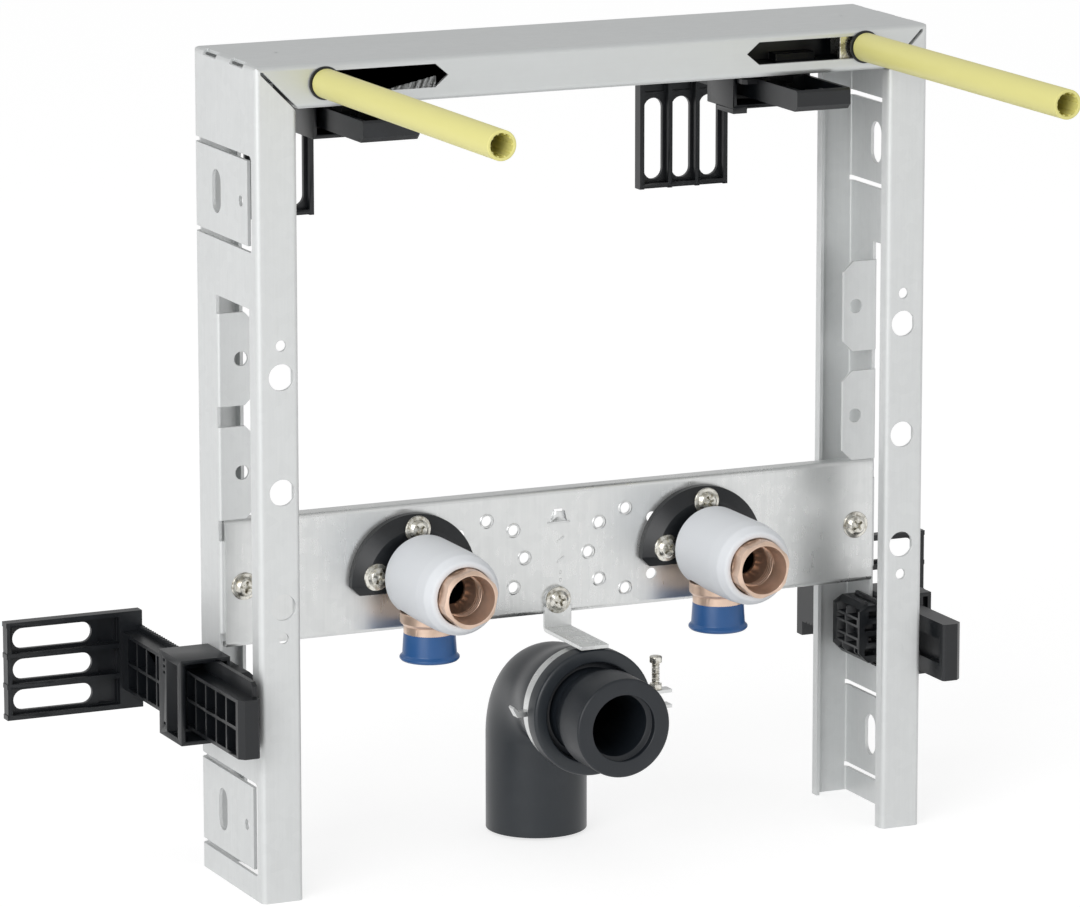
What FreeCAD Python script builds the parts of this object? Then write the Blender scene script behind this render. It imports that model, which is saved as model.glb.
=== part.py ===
import FreeCAD, Part
import math
import os

import Sketcher

# Driving dimensions in millimetres, kept in the spreadsheet under these names
SIZES = {
    # Portal of bent sheet: two uprights and a top rail
    "portal_width": 350.0,
    "portal_height": 400.0,
    "portal_depth": 78.0,
    "sheet_thickness": 1.75,
    "bend_inside": 1.0,
    "flange_width": 21.0,
    "lip_depth": 7.0,
    "mitre_gap": 1.7,
    "relief_length": 16.7,
    "relief_front": 15.6,
    "relief_rear": 12.1,
    # Holes in the front flanges and in the tabs behind them
    "fixing_inset": 11.8,
    "fixing_diameter": 12.6,
    "pilot_diameter": 5.2,
    "pilot_offset": 15.0,
    # Window in each outer web and the tabs bent in from its rear edge
    "window_front": 10.0,
    "window_margin": 18.5,
    "window_drop": 115.0,
    "tab_back": 27.5,
    "tab_drop": 31.6,
    "tab_gap": 10.0,
    "tab_reach": 18.5,
    "tab_chamfer": 5.0,
    "tab_bend": 1.5,
    "tab_hole_diameter": 7.0,
    # Slotted panels near the top and the bottom of each outer web
    "panel_drop": 65.3,
    "panel_rise": 34.7,
    "panel_half_height": 21.4,
    "panel_slit": 2.6,
    "panel_slot_width": 11.0,
    "panel_slot_length": 20.7,
    "panel_slot_depth": 50.0,
    "panel_hole_depth": 19.3,
    "panel_edge_front": 6.0,
    "panel_edge_width": 5.0,
    # Slots of the top rail for the basin studs
    "stud_inset": 34.7,
    "stud_drop": 9.4,
    "stud_slot_height": 10.8,
    "stud_slot_inset": 28.0,
    "stud_slot_length": 69.3,
    "stud_slot_tip": 6.5,
    "stud_slot_end": 2.6,
    # Crossbar, its axis measured from the floor
    "crossbar_height": 143.4,
    "crossbar_sheet": 1.5,
    "crossbar_above": 32.6,
    "crossbar_below": 29.4,
    "crossbar_lip": 8.0,
    "crossbar_end_gap": 0.6,
    "crossbar_screw_drop": 22.0,
    "ring_spacing": 74.0,
    "ring_radius": 20.0,
    "ring_hole_diameter": 5.5,
    # Tap connection elbows, heights measured down from the crossbar's axis
    "elbow_spacing": 153.8,
    "elbow_front": 16.8,
    "elbow_outlet_depth": 27.0,
    "elbow_diameter": 27.0,
    "elbow_thread_bore": 18.6,
    "elbow_thread_depth": 15.0,
    "elbow_water_bore": 15.0,
    "elbow_tail_diameter": 19.0,
    "elbow_tail_drop": 36.9,
    "elbow_collar_diameter": 25.0,
    "elbow_collar_drop": 26.1,
    "elbow_collar_height": 6.7,
    "elbow_neck_step": 1.5,
    "elbow_edge": 1.0,
    "sleeve_front_wall": 8.0,
    "sleeve_rear_wall": 6.3,
    "sleeve_nose_wall": 5.0,
    "sleeve_front": 9.0,
    "sleeve_rear_gap": 0.1,
    "sleeve_clearance": 0.2,
    "sleeve_nose_length": 5.0,
    "pad_half_width": 32.5,
    "pad_arc_drop": 4.4,
    "pad_thickness": 8.5,
    "pad_floor": 4.0,
    "pad_below": 9.6,
    "pad_corner": 4.0,
    "pad_edge": 4.5,
    "pad_bevel": 6.5,
    "pad_foot_bevel": 1.0,
    "pad_screw_radius": 21.5,
    "screw_head_diameter": 13.4,
    "screw_head_height": 3.0,
    "screw_rim_height": 1.35,
    "screw_face_diameter": 9.4,
    "screw_shank_diameter": 4.8,
    "screw_tail": 4.0,
    "screw_clearance": 0.4,
    "cap_diameter": 22.0,
    "cap_rim_diameter": 25.0,
    "cap_rim_height": 1.6,
    "cap_rim_slope": 1.2,
    "cap_drop": 39.4,
    "cap_floor": 1.5,
    # Waste bend with its clamp, bracket and seal
    "waste_diameter": 50.0,
    "waste_wall": 2.2,
    "waste_axis_depth": 73.0,
    "waste_axis_height": 74.3,
    "waste_bend_radius": 40.0,
    "waste_bottom": 1.5,
    "socket_step": 3.0,
    "socket_wall": 3.5,
    "socket_rear": 31.0,
    "socket_depth": 27.5,
    "bead_step": 3.5,
    "bead_edge": 1.5,
    "bead_front": 5.0,
    "bead_rear": 15.0,
    "seal_front": 29.0,
    "seal_rear": 14.0,
    "seal_bore": 32.0,
    "seal_wall": 6.2,
    "seal_edge": 2.5,
    "seal_mouth": 1.5,
    "clamp_front": 17.0,
    "clamp_width": 6.5,
    "clamp_sheet": 2.0,
    "clamp_fit": 0.1,
    "clamp_ear_left": 38.0,
    "clamp_ear_right": 48.5,
    "clamp_ear_gap": 6.0,
    "clamp_screw_reach": 41.0,
    "clamp_screw_above": 21.3,
    "clamp_screw_below": 11.3,
    "clamp_screw_diameter": 4.0,
    "clamp_head_diameter": 6.0,
    "clamp_head_height": 3.6,
    "clamp_nut_diameter": 7.0,
    "clamp_nut_height": 3.2,
    "strap_width": 14.4,
    "strap_sheet": 2.0,
    "strap_gap": 1.5,
    "strap_front": 4.0,
    # Basin studs, their protective tubes, slide plates and guides
    "stud_diameter": 10.0,
    "stud_chamfer": 1.0,
    "stud_rear": 24.0,
    "tube_diameter": 13.9,
    "tube_bore": 10.6,
    "tube_length": 201.5,
    "tube_seat_gap": 0.3,
    "stud_recess": 9.0,
    "slide_length": 24.0,
    "slide_height": 12.8,
    "slide_sheet": 3.0,
    "nut_width": 16.0,
    "nut_height": 11.2,
    "nut_depth": 4.0,
    "guide_inner_margin": 4.2,
    "guide_outer_margin": 8.0,
    "guide_depth": 14.0,
    "guide_below": 8.8,
    "guide_above": 6.4,
    "guide_wall": 1.6,
    "guide_floor": 2.0,
    # Wall anchors: ribbed arm and slotted plate moulded in one
    "anchor_low_height": 89.5,
    "anchor_top_inset": 62.7,
    "anchor_standoff": 5.6,
    "anchor_width": 28.5,
    "anchor_thickness": 10.3,
    "anchor_front": 13.0,
    "anchor_plate_front": 141.0,
    "anchor_plate_rim": 6.0,
    "anchor_plate_floor": 2.5,
    "anchor_plate_width": 48.6,
    "anchor_plate_reach": 75.6,
    "anchor_rim_wall": 2.6,
    "anchor_rib_end": 0.8,
    "anchor_slot_width": 10.2,
    "anchor_slot_length": 41.0,
    "anchor_slot_pitch": 15.1,
    "anchor_slot_end": 4.0,
    "anchor_wall": 1.8,
    "anchor_floor": 4.4,
    "anchor_cell": 13.0,
    "anchor_end_wall": 7.0,
    "anchor_channel_width": 13.6,
    "anchor_channel_depth": 2.8,
    "anchor_channel_front": 8.0,
    "rack_width": 7.5,
    "rack_thickness": 2.4,
    "rack_front": 9.0,
    "tooth_pitch": 4.0,
    "tooth_depth": 1.2,
    # Anchor holders that clip through the sheet
    "holder_lead": 12.5,
    "holder_rear_gap": 11.0,
    "holder_depth": 25.5,
    "holder_rack_side": 23.2,
    "holder_plain_side": 18.3,
    "holder_clearance": 0.3,
    "holder_neck_half": 15.5,
    "holder_neck_clearance": 0.3,
    "holder_flute": 5.0,
    "holder_flute_depth": 6.0,
    "holder_wall": 2.2,
    "holder_recess": 7.0,
    "holder_rib": 1.8,
}

DOCUMENT = FreeCAD.newDocument("basin_frame")


class Size:
    """A number together with the sheet expression that gives it."""

    def __init__(self, number, text):
        self.number = float(number)
        self.text = text

    def __add__(self, other):
        other = as_size(other)
        return Size(self.number + other.number, f"({self.text} + {other.text})")

    def __radd__(self, other):
        return as_size(other) + self

    def __sub__(self, other):
        other = as_size(other)
        return Size(self.number - other.number, f"({self.text} - {other.text})")

    def __rsub__(self, other):
        return as_size(other) - self

    def __mul__(self, other):
        other = as_size(other)
        return Size(self.number * other.number, f"({self.text} * {other.text})")

    def __rmul__(self, other):
        return as_size(other) * self

    def __truediv__(self, other):
        other = as_size(other)
        return Size(self.number / other.number, f"({self.text} / {other.text})")

    def __neg__(self):
        return as_size(-1) * self


def as_size(value):
    """A plain number as a Size, and a Size as it is."""
    if isinstance(value, Size):
        return value
    return Size(value, f"({float(value)!r})")


def fill_sheet():
    """Write every driving dimension into the spreadsheet and return them by name."""
    sheet = DOCUMENT.addObject("Spreadsheet::Sheet", "Sizes")
    named = {}
    for row, (name, value) in enumerate(SIZES.items(), start=1):
        sheet.set(f"A{row}", name)
        sheet.set(f"B{row}", str(value))
        sheet.setAlias(f"B{row}", name)
        named[name] = Size(value, f"Sizes.{name}")
    DOCUMENT.recompute()
    return named


S = fill_sheet()

# Margin by which a cut runs past the solid
OVER = 1.0

# Sizes that follow from the driving ones
HALF_WIDTH = S["portal_width"] / 2
TOP = S["portal_height"]
DEPTH = S["portal_depth"]
SHEET = S["sheet_thickness"]
FLANGE = S["flange_width"]
OUTER_BEND = S["bend_inside"] + SHEET
FIXING_X = HALF_WIDTH - S["fixing_inset"]
TAB_FRONT = DEPTH - S["tab_back"]
TAB_REAR = TAB_FRONT + SHEET
CROSSBAR_AXIS = S["crossbar_height"]
CROSSBAR_FRONT = TAB_FRONT - S["crossbar_sheet"]
PAD_FRONT = CROSSBAR_FRONT - S["pad_thickness"]
WINDOW_BOTTOM = S["anchor_low_height"] - S["window_margin"]
WINDOW_TOP = TOP - S["window_drop"]
FIXING_PITCH = (WINDOW_TOP - S["tab_drop"] - CROSSBAR_AXIS) / 2
FIXING_HEIGHTS = [CROSSBAR_AXIS + row * FIXING_PITCH for row in range(3)]
STRAP_SCREW = CROSSBAR_AXIS - S["crossbar_screw_drop"]
STUD_X = HALF_WIDTH - S["stud_inset"]
STUD_HEIGHT = TOP - S["stud_drop"]
STUD_SLOT_OUTER = HALF_WIDTH - S["stud_slot_inset"]
STUD_SLOT_INNER = STUD_SLOT_OUTER - S["stud_slot_length"]
SOCKET_RADIUS = S["waste_diameter"] / 2 + S["socket_step"]
SOCKET_BORE = SOCKET_RADIUS - S["socket_wall"]
CLAMP_INNER = SOCKET_RADIUS + S["clamp_fit"]
STRAP_UNDERSIDE = S["waste_axis_height"] + CLAMP_INNER + S["clamp_sheet"] + S["strap_gap"]
SCREW_HOLE = S["screw_shank_diameter"] + S["screw_clearance"]
SCREW_TAIL = CROSSBAR_FRONT + S["crossbar_sheet"] + S["screw_tail"]
ANCHOR_REAR = S["anchor_plate_front"] + S["anchor_plate_rim"]
ORIGIN_SHIFT = (S["tube_length"] - ANCHOR_REAR) / 2
RAIL_EDGE = TOP - FLANGE


class Drawing:
    """A sketch on one of a body's origin planes, with its points tied to the sheet."""

    def __init__(self, body, plane, at, name, across=0.0, up=0.0):
        self.sketch = body.newObject("Sketcher::SketchObject", name)
        roles = [f for f in body.Origin.OriginFeatures if f.Role == plane + "_Plane"]
        self.sketch.AttachmentSupport = [(roles[0], "")]
        self.sketch.MapMode = "FlatFace"
        offset = -as_size(at) if plane == "XZ" else as_size(at)
        self.sketch.setExpression("AttachmentOffset.Base.x", as_size(across).text)
        self.sketch.setExpression("AttachmentOffset.Base.y", as_size(up).text)
        self.sketch.setExpression("AttachmentOffset.Base.z", offset.text)

    def tie(self, kind, geometry, point, value):
        """Fix one coordinate of a point, or a radius, to a size."""
        value = as_size(value)
        if kind == "Radius":
            constraint = Sketcher.Constraint(kind, geometry, value.number)
        else:
            constraint = Sketcher.Constraint(kind, -1, 1, geometry, point, value.number)
        index = self.sketch.addConstraint(constraint)
        self.sketch.setExpression(f"Constraints[{index}]", value.text)

    def polygon(self, points):
        """A closed outline through points given as pairs of sizes."""
        spots = [(as_size(x), as_size(y)) for x, y in points]
        first = self.sketch.GeometryCount
        count = len(spots)
        lines = []
        for i, (x, y) in enumerate(spots):
            next_x, next_y = spots[(i + 1) % count]
            start = FreeCAD.Vector(x.number, y.number, 0)
            end = FreeCAD.Vector(next_x.number, next_y.number, 0)
            lines.append(Part.LineSegment(start, end))
        self.sketch.addGeometry(lines, False)
        for i in range(count):
            follower = first + (i + 1) % count
            self.sketch.addConstraint(Sketcher.Constraint("Coincident", first + i, 2, follower, 1))
        for i, (x, y) in enumerate(spots):
            self.tie("DistanceX", first + i, 1, x)
            self.tie("DistanceY", first + i, 1, y)
        return self

    def rectangle(self, left, bottom, right, top):
        """An upright rectangle between two corners."""
        return self.polygon([(left, bottom), (right, bottom), (right, top), (left, top)])

    def circle(self, x, y, diameter):
        """A full circle about a point."""
        x, y, radius = as_size(x), as_size(y), as_size(diameter) / 2
        centre = FreeCAD.Vector(x.number, y.number, 0)
        circle = Part.Circle(centre, FreeCAD.Vector(0, 0, 1), radius.number)
        index = self.sketch.addGeometry(circle, False)
        self.tie("Radius", index, 0, radius)
        self.tie("DistanceX", index, 3, x)
        self.tie("DistanceY", index, 3, y)
        return self

    def slot(self, x, y, length, width, upright=False):
        """A round-ended slot of an overall length about a point."""
        x, y = as_size(x), as_size(y)
        radius = as_size(width) / 2
        reach = as_size(length) / 2 - radius
        along_x, along_y = (as_size(0), reach) if upright else (reach, as_size(0))
        quarter = math.pi / 2
        turn = quarter if upright else 0.0
        first = self.sketch.GeometryCount
        normal = FreeCAD.Vector(0, 0, 1)
        ends = [(x - along_x, y - along_y), (x + along_x, y + along_y)]
        arcs = []
        for i, (end_x, end_y) in enumerate(ends):
            start = turn + quarter + i * math.pi
            circle = Part.Circle(FreeCAD.Vector(end_x.number, end_y.number, 0), normal, radius.number)
            arcs.append(Part.ArcOfCircle(circle, start, start + math.pi))
        sides = [
            Part.LineSegment(arcs[0].EndPoint, arcs[1].StartPoint),
            Part.LineSegment(arcs[1].EndPoint, arcs[0].StartPoint),
        ]
        self.sketch.addGeometry(arcs + sides, False)
        for a, b in ((0, 2), (2, 1), (1, 3), (3, 0)):
            self.sketch.addConstraint(Sketcher.Constraint("Tangent", first + a, 2, first + b, 1))
        self.tie("Radius", first, 0, radius)
        for i, (end_x, end_y) in enumerate(ends):
            self.tie("DistanceX", first + i, 3, end_x)
            self.tie("DistanceY", first + i, 3, end_y)
        return self

    def dee(self, centre, half, arc_height, bottom, corner=None):
        """A D-shape: half circle above, straight sides, and a flat foot, its corners cut if given."""
        centre, half, arc_height = as_size(centre), as_size(half), as_size(arc_height)
        middle = FreeCAD.Vector(centre.number, arc_height.number, 0)
        circle = Part.Circle(middle, FreeCAD.Vector(0, 0, 1), half.number)
        arc = Part.ArcOfCircle(circle, 0, math.pi)
        foot = [(centre - half, bottom), (centre + half, bottom)]
        if corner is not None:
            foot = [
                (centre - half, bottom + corner),
                (centre - half + corner, bottom),
                (centre + half - corner, bottom),
                (centre + half, bottom + corner),
            ]
        spots = [FreeCAD.Vector(x.number, y.number, 0) for x, y in foot]
        chain = [arc.EndPoint, *spots, arc.StartPoint]
        lines = [Part.LineSegment(a, b) for a, b in zip(chain, chain[1:])]
        self.sketch.addGeometry([arc, *lines], False)
        last = len(lines)
        self.sketch.addConstraint(Sketcher.Constraint("Tangent", 0, 2, 1, 1))
        self.sketch.addConstraint(Sketcher.Constraint("Tangent", last, 2, 0, 1))
        for i in range(1, last):
            self.sketch.addConstraint(Sketcher.Constraint("Coincident", i, 2, i + 1, 1))
        self.tie("Radius", 0, 0, half)
        self.tie("DistanceX", 0, 3, centre)
        self.tie("DistanceY", 0, 3, arc_height)
        for i, (x, y) in enumerate(foot, start=1):
            self.tie("DistanceX", i, 2, x)
            self.tie("DistanceY", i, 2, y)
        return self


    def fold_corner(self, side, reach, top, radius):
        """What lies outside the rounded upper corner of a folded sheet."""
        middle = FreeCAD.Vector((side * (reach - radius)).number, (top - radius).number, 0)
        circle = Part.Circle(middle, FreeCAD.Vector(0, 0, 1), radius.number)
        start = 0.0 if side > 0 else math.pi / 2
        arc = Part.ArcOfCircle(circle, start, start + math.pi / 2)
        chain = [
            (side * reach, top - radius),
            (side * (reach + OVER), top - radius),
            (side * (reach + OVER), top + OVER),
            (side * (reach - radius), top + OVER),
            (side * (reach - radius), top),
        ]
        spots = [FreeCAD.Vector(x.number, y.number, 0) for x, y in chain]
        lines = [Part.LineSegment(a, b) for a, b in zip(spots, spots[1:])]
        first = self.sketch.GeometryCount
        self.sketch.addGeometry([arc, *lines], False)
        flank_end, crown_end = (1, 2) if side > 0 else (2, 1)
        last = first + len(lines)
        self.sketch.addConstraint(Sketcher.Constraint("Coincident", first, flank_end, first + 1, 1))
        self.sketch.addConstraint(Sketcher.Constraint("Coincident", first, crown_end, last, 2))
        for i in range(first + 1, last):
            self.sketch.addConstraint(Sketcher.Constraint("Coincident", i, 2, i + 1, 1))
        self.tie("Radius", first, 0, radius)
        self.tie("DistanceX", first, 3, side * (reach - radius))
        self.tie("DistanceY", first, 3, top - radius)
        self.tie("DistanceY", first + 1, 1, top - radius)
        self.tie("DistanceX", last, 2, side * (reach - radius))
        for i, (x, y) in enumerate(chain[1:-1], start=first + 1):
            self.tie("DistanceX", i, 2, x)
            self.tie("DistanceY", i, 2, y)
        return self


class Piece:
    """One sub-part of the frame as a body of named features."""

    def __init__(self, name, across=0.0, height=0.0, turn=0.0):
        self.name = name
        self.body = DOCUMENT.addObject("PartDesign::Body", name)
        self.body.Label = name
        rotation = FreeCAD.Rotation(FreeCAD.Vector(0, 1, 0), turn)
        self.body.Placement = FreeCAD.Placement(FreeCAD.Vector(0, 0, 0), rotation)
        self.body.setExpression("Placement.Base.x", as_size(across).text)
        self.body.setExpression("Placement.Base.y", ORIGIN_SHIFT.text)
        self.body.setExpression("Placement.Base.z", as_size(height).text)
        self.count = 0

    def feature_name(self, kind):
        """The next free name for a feature of this piece."""
        self.count += 1
        return f"{self.name}_{kind}_{self.count}"

    def extrude(self, kind, plane, low, high):
        """A pad or pocket between two coordinates along the plane's axis."""
        low, high = as_size(low), as_size(high)
        at = high if plane == "XZ" else low
        drawing = Drawing(self.body, plane, at, self.feature_name("outline"))
        self.last = self.body.newObject("PartDesign::" + kind, self.feature_name(kind.lower()))
        self.last.Profile = drawing.sketch
        self.last.setExpression("Length", (high - low).text)
        return drawing

    def pad(self, plane, low, high):
        """Material between two coordinates; returns the drawing to fill in."""
        return self.extrude("Pad", plane, low, high)

    def pocket(self, plane, low, high):
        """A cut between two coordinates; returns the drawing to fill in."""
        drawing = self.extrude("Pocket", plane, low, high)
        self.last.Reversed = True
        return drawing

    def turned(self, plane, at, across=0.0, up=0.0, kind="Revolution"):
        """A full turn about the vertical axis of the drawing that is returned."""
        drawing = Drawing(self.body, plane, at, self.feature_name("outline"), across, up)
        self.last = self.body.newObject("PartDesign::" + kind, self.feature_name("turned"))
        self.last.Profile = drawing.sketch
        self.last.ReferenceAxis = (drawing.sketch, ["V_Axis"])
        self.last.Angle = 360
        return drawing

    def loft(self, plane, sections):
        """Material between drawings at two places along the plane's axis."""
        drawings = [Drawing(self.body, plane, at, self.feature_name("outline")) for at in sections]
        self.last = self.body.newObject("PartDesign::AdditiveLoft", self.feature_name("loft"))
        self.last.Profile = drawings[0].sketch
        self.last.Sections = [drawing.sketch for drawing in drawings[1:]]
        self.last.Ruled = True
        return drawings

    def repeat(self, axis, spacing, occurrences):
        """Repeat the last feature along one of the body's axes."""
        original = self.last
        pattern = self.body.newObject("PartDesign::LinearPattern", self.feature_name("row"))
        roles = [f for f in self.body.Origin.OriginFeatures if f.Role == axis + "_Axis"]
        pattern.Originals = [original]
        pattern.Direction = (roles[0], [""])
        pattern.setExpression("Length", (as_size(spacing) * (occurrences - 1)).text)
        pattern.Occurrences = occurrences
        self.body.Tip = pattern
        self.last = pattern

    def round_edges(self, radius, axis, spots):
        """Round the edges that run along an axis through the given places."""
        DOCUMENT.recompute()
        keys = {"X": (1, 2), "Y": (0, 2), "Z": (0, 1)}[axis]
        wanted = [(as_size(a).number, as_size(b).number) for a, b in spots]
        names = []
        for number, edge in enumerate(self.body.Tip.Shape.Edges, start=1):
            ends = [vertex.Point for vertex in edge.Vertexes]
            for spot in wanted:
                if len(ends) == 2 and all(
                    math.dist((end[keys[0]], end[keys[1]]), spot) < 1e-4 for end in ends
                ):
                    names.append(f"Edge{number}")
        base = self.body.Tip
        self.last = self.body.newObject("PartDesign::Fillet", self.feature_name("bends"))
        self.last.Base = (base, names)
        self.last.setExpression("Radius", as_size(radius).text)


def channel_outline(drawing, outward, web, lip_edge, front, rear):
    """The lipped channel section, its web at one side, drawn with the depth as second axis."""
    inner = web - SHEET
    edge = lip_edge
    lip = S["lip_depth"]
    points = [
        (web, front),
        (edge, front),
        (edge, front + lip),
        (edge + SHEET, front + lip),
        (edge + SHEET, front + SHEET),
        (inner, front + SHEET),
        (inner, rear - SHEET),
        (edge + SHEET, rear - SHEET),
        (edge + SHEET, rear - lip),
        (edge, rear - lip),
        (edge, rear),
        (web, rear),
    ]
    drawing.polygon([(outward * x, y) for x, y in points])


def channel_bends(piece, axis, order, outward, web, lip_edge):
    """Round the eight long bends of the lipped channel."""
    inner = web - SHEET
    outer_spots = [(web, 0), (lip_edge, 0), (lip_edge, DEPTH), (web, DEPTH)]
    inner_spots = [
        (lip_edge + SHEET, SHEET),
        (inner, SHEET),
        (inner, DEPTH - SHEET),
        (lip_edge + SHEET, DEPTH - SHEET),
    ]
    for radius, spots in ((OUTER_BEND, outer_spots), (S["bend_inside"], inner_spots)):
        placed = [(outward * x, as_size(y)) for x, y in spots]
        piece.round_edges(radius, axis, [tuple(order(*spot)) for spot in placed])


def corner_cuts(piece, side):
    """Rounded outside of the fold and the two relief slots across it."""
    fold = piece.pocket("XZ", -OVER, DEPTH + OVER)
    fold.fold_corner(side, HALF_WIDTH, TOP, OUTER_BEND)
    starts = (S["relief_front"], DEPTH - S["relief_rear"] - S["relief_length"])
    for start in starts:
        piece.pocket("XZ", start, start + S["relief_length"]).rectangle(
            side * (HALF_WIDTH - OUTER_BEND),
            TOP - OUTER_BEND,
            side * (HALF_WIDTH + OVER),
            TOP + OVER,
        )


def mitre_outline(side, is_rail):
    """Everything beyond the 45 degree mitre, with half the gap taken from the flanges."""
    step = S["mitre_gap"] / math.sqrt(2)
    bend = SHEET + S["bend_inside"]
    far = FLANGE + OVER
    corner = (HALF_WIDTH, TOP)
    knee = (HALF_WIDTH - bend, TOP - bend)
    if is_rail:
        points = [
            corner,
            knee,
            (HALF_WIDTH - bend - step, TOP - bend),
            (HALF_WIDTH - far - step, TOP - far),
            (HALF_WIDTH + OVER, TOP - far),
            (HALF_WIDTH + OVER, TOP),
        ]
    else:
        points = [
            corner,
            knee,
            (HALF_WIDTH - bend, TOP - bend - step),
            (HALF_WIDTH - far, TOP - far - step),
            (HALF_WIDTH - far, TOP + OVER),
            (HALF_WIDTH, TOP + OVER),
        ]
    return [(side * x, z) for x, z in points]


def make_upright(name, side):
    """One upright: lipped channel with its window, tabs, slotted panels and holes."""
    piece = Piece(name)
    lip_edge = HALF_WIDTH - FLANGE
    channel_outline(piece.pad("XY", 0, TOP), side, HALF_WIDTH, lip_edge, 0, DEPTH)
    channel_bends(piece, "Z", lambda x, y: (x, y), side, HALF_WIDTH, lip_edge)
    piece.pocket("XZ", -OVER, DEPTH + OVER).polygon(mitre_outline(side, False))
    corner_cuts(piece, side)

    web_low, web_high = sorted_sides(side, HALF_WIDTH - SHEET - OVER, HALF_WIDTH + OVER)
    piece.pocket("YZ", web_low, web_high).rectangle(
        S["window_front"], WINDOW_BOTTOM, TAB_REAR, WINDOW_TOP
    )

    tab_inner = HALF_WIDTH - S["tab_reach"]
    tab_half = (FIXING_PITCH - S["tab_gap"]) / 2
    cut = S["tab_chamfer"]
    for middle in FIXING_HEIGHTS:
        bottom = middle - tab_half
        upper = middle + tab_half
        outline = [
            (HALF_WIDTH, bottom),
            (tab_inner + cut, bottom),
            (tab_inner, bottom + cut),
            (tab_inner, upper - cut),
            (tab_inner + cut, upper),
            (HALF_WIDTH, upper),
        ]
        tab = piece.pad("XZ", TAB_FRONT, TAB_REAR)
        tab.polygon([(side * x, z) for x, z in outline])
        tab.circle(side * FIXING_X, middle, S["tab_hole_diameter"])
    piece.round_edges(S["tab_bend"], "Z", [(side * HALF_WIDTH, TAB_FRONT)])

    slits = piece.pocket("YZ", web_low, web_high)
    edges = piece.pocket("YZ", web_low, web_high)
    edge_middle = S["panel_edge_front"] + S["panel_edge_width"] / 2
    for middle in (TOP - S["panel_drop"], S["panel_rise"]):
        for end in (-1, 1):
            slit = middle + end * S["panel_half_height"]
            slits.rectangle(
                edge_middle, slit - S["panel_slit"] / 2, DEPTH + OVER, slit + S["panel_slit"] / 2
            )
        edge_length = 2 * S["panel_half_height"] + S["panel_slit"]
        edges.slot(edge_middle, middle, edge_length, S["panel_edge_width"], upright=True)
        edges.slot(
            S["panel_slot_depth"], middle, S["panel_slot_length"], S["panel_slot_width"], upright=True
        )
        edges.circle(S["panel_hole_depth"], middle, S["pilot_diameter"])

    flange_holes = piece.pocket("XZ", -OVER, SHEET + OVER)
    for height in FIXING_HEIGHTS:
        flange_holes.circle(side * FIXING_X, height, S["fixing_diameter"])
    for height in (FIXING_HEIGHTS[-1] + S["pilot_offset"], CROSSBAR_AXIS - S["pilot_offset"]):
        flange_holes.circle(side * FIXING_X, height, S["pilot_diameter"])
    return piece


def make_top_rail():
    """The top rail: lipped channel open downwards, with the two stud slots."""
    piece = Piece("top_rail")
    section = piece.pad("YZ", -HALF_WIDTH, HALF_WIDTH)
    inner = TOP - SHEET
    lip = S["lip_depth"]
    section.polygon([
        (0, TOP),
        (0, RAIL_EDGE),
        (lip, RAIL_EDGE),
        (lip, RAIL_EDGE + SHEET),
        (SHEET, RAIL_EDGE + SHEET),
        (SHEET, inner),
        (DEPTH - SHEET, inner),
        (DEPTH - SHEET, RAIL_EDGE + SHEET),
        (DEPTH - lip, RAIL_EDGE + SHEET),
        (DEPTH - lip, RAIL_EDGE),
        (DEPTH, RAIL_EDGE),
        (DEPTH, TOP),
    ])
    channel_bends(piece, "X", lambda z, y: (y, z), 1, TOP, RAIL_EDGE)
    for side in (-1, 1):
        piece.pocket("XZ", -OVER, DEPTH + OVER).polygon(mitre_outline(side, True))
        corner_cuts(piece, side)
    slots = piece.pocket("XZ", -OVER, SHEET + OVER)
    half = S["stud_slot_height"] / 2
    tip = STUD_SLOT_INNER + S["stud_slot_tip"]
    end = STUD_SLOT_OUTER - S["stud_slot_end"]
    for side in (-1, 1):
        outline = [
            (STUD_SLOT_INNER, STUD_HEIGHT),
            (tip, STUD_HEIGHT + half),
            (end, STUD_HEIGHT + half),
            (STUD_SLOT_OUTER, STUD_HEIGHT),
            (end, STUD_HEIGHT - half),
            (tip, STUD_HEIGHT - half),
        ]
        slots.polygon([(side * x, z) for x, z in outline])
    return piece


def make_crossbar():
    """The crossbar: a lipped plate with two rings of fixing holes."""
    piece = Piece("crossbar")
    bottom = CROSSBAR_AXIS - S["crossbar_below"]
    upper = CROSSBAR_AXIS + S["crossbar_above"]
    front = CROSSBAR_FRONT
    sheet = S["crossbar_sheet"]
    rear = front + S["crossbar_lip"]
    end = HALF_WIDTH - SHEET - S["crossbar_end_gap"]
    piece.pad("YZ", -end, end).polygon([
        (front, bottom),
        (rear, bottom),
        (rear, bottom + sheet),
        (front + sheet, bottom + sheet),
        (front + sheet, upper - sheet),
        (rear, upper - sheet),
        (rear, upper),
        (front, upper),
    ])
    piece.round_edges(S["bend_inside"] + sheet, "X", [(front, bottom), (front, upper)])
    holes = piece.pocket("XZ", front - OVER, front + sheet + OVER)
    for side in (-1, 1):
        for step in range(8):
            angle = step * math.pi / 4
            holes.circle(
                side * S["ring_spacing"] / 2 + S["ring_radius"] * math.cos(angle),
                CROSSBAR_AXIS + S["ring_radius"] * math.sin(angle),
                S["ring_hole_diameter"],
            )
        holes.circle(side * FIXING_X, CROSSBAR_AXIS, SCREW_HOLE)
    holes.circle(0, STRAP_SCREW, SCREW_HOLE)
    elbow_holes = piece.pocket("XZ", front - OVER, front + sheet + OVER)
    for side in (-1, 1):
        for reach, rise in screw_places(side):
            elbow_holes.circle(reach, rise, SCREW_HOLE)
    return piece


def screw_places(side):
    """Centres of the three screws round one elbow: left, top and right."""
    centre = side * S["elbow_spacing"] / 2
    radius = S["pad_screw_radius"]
    return [
        (centre - radius, CROSSBAR_AXIS),
        (centre, CROSSBAR_AXIS + radius),
        (centre + radius, CROSSBAR_AXIS),
    ]


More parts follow.
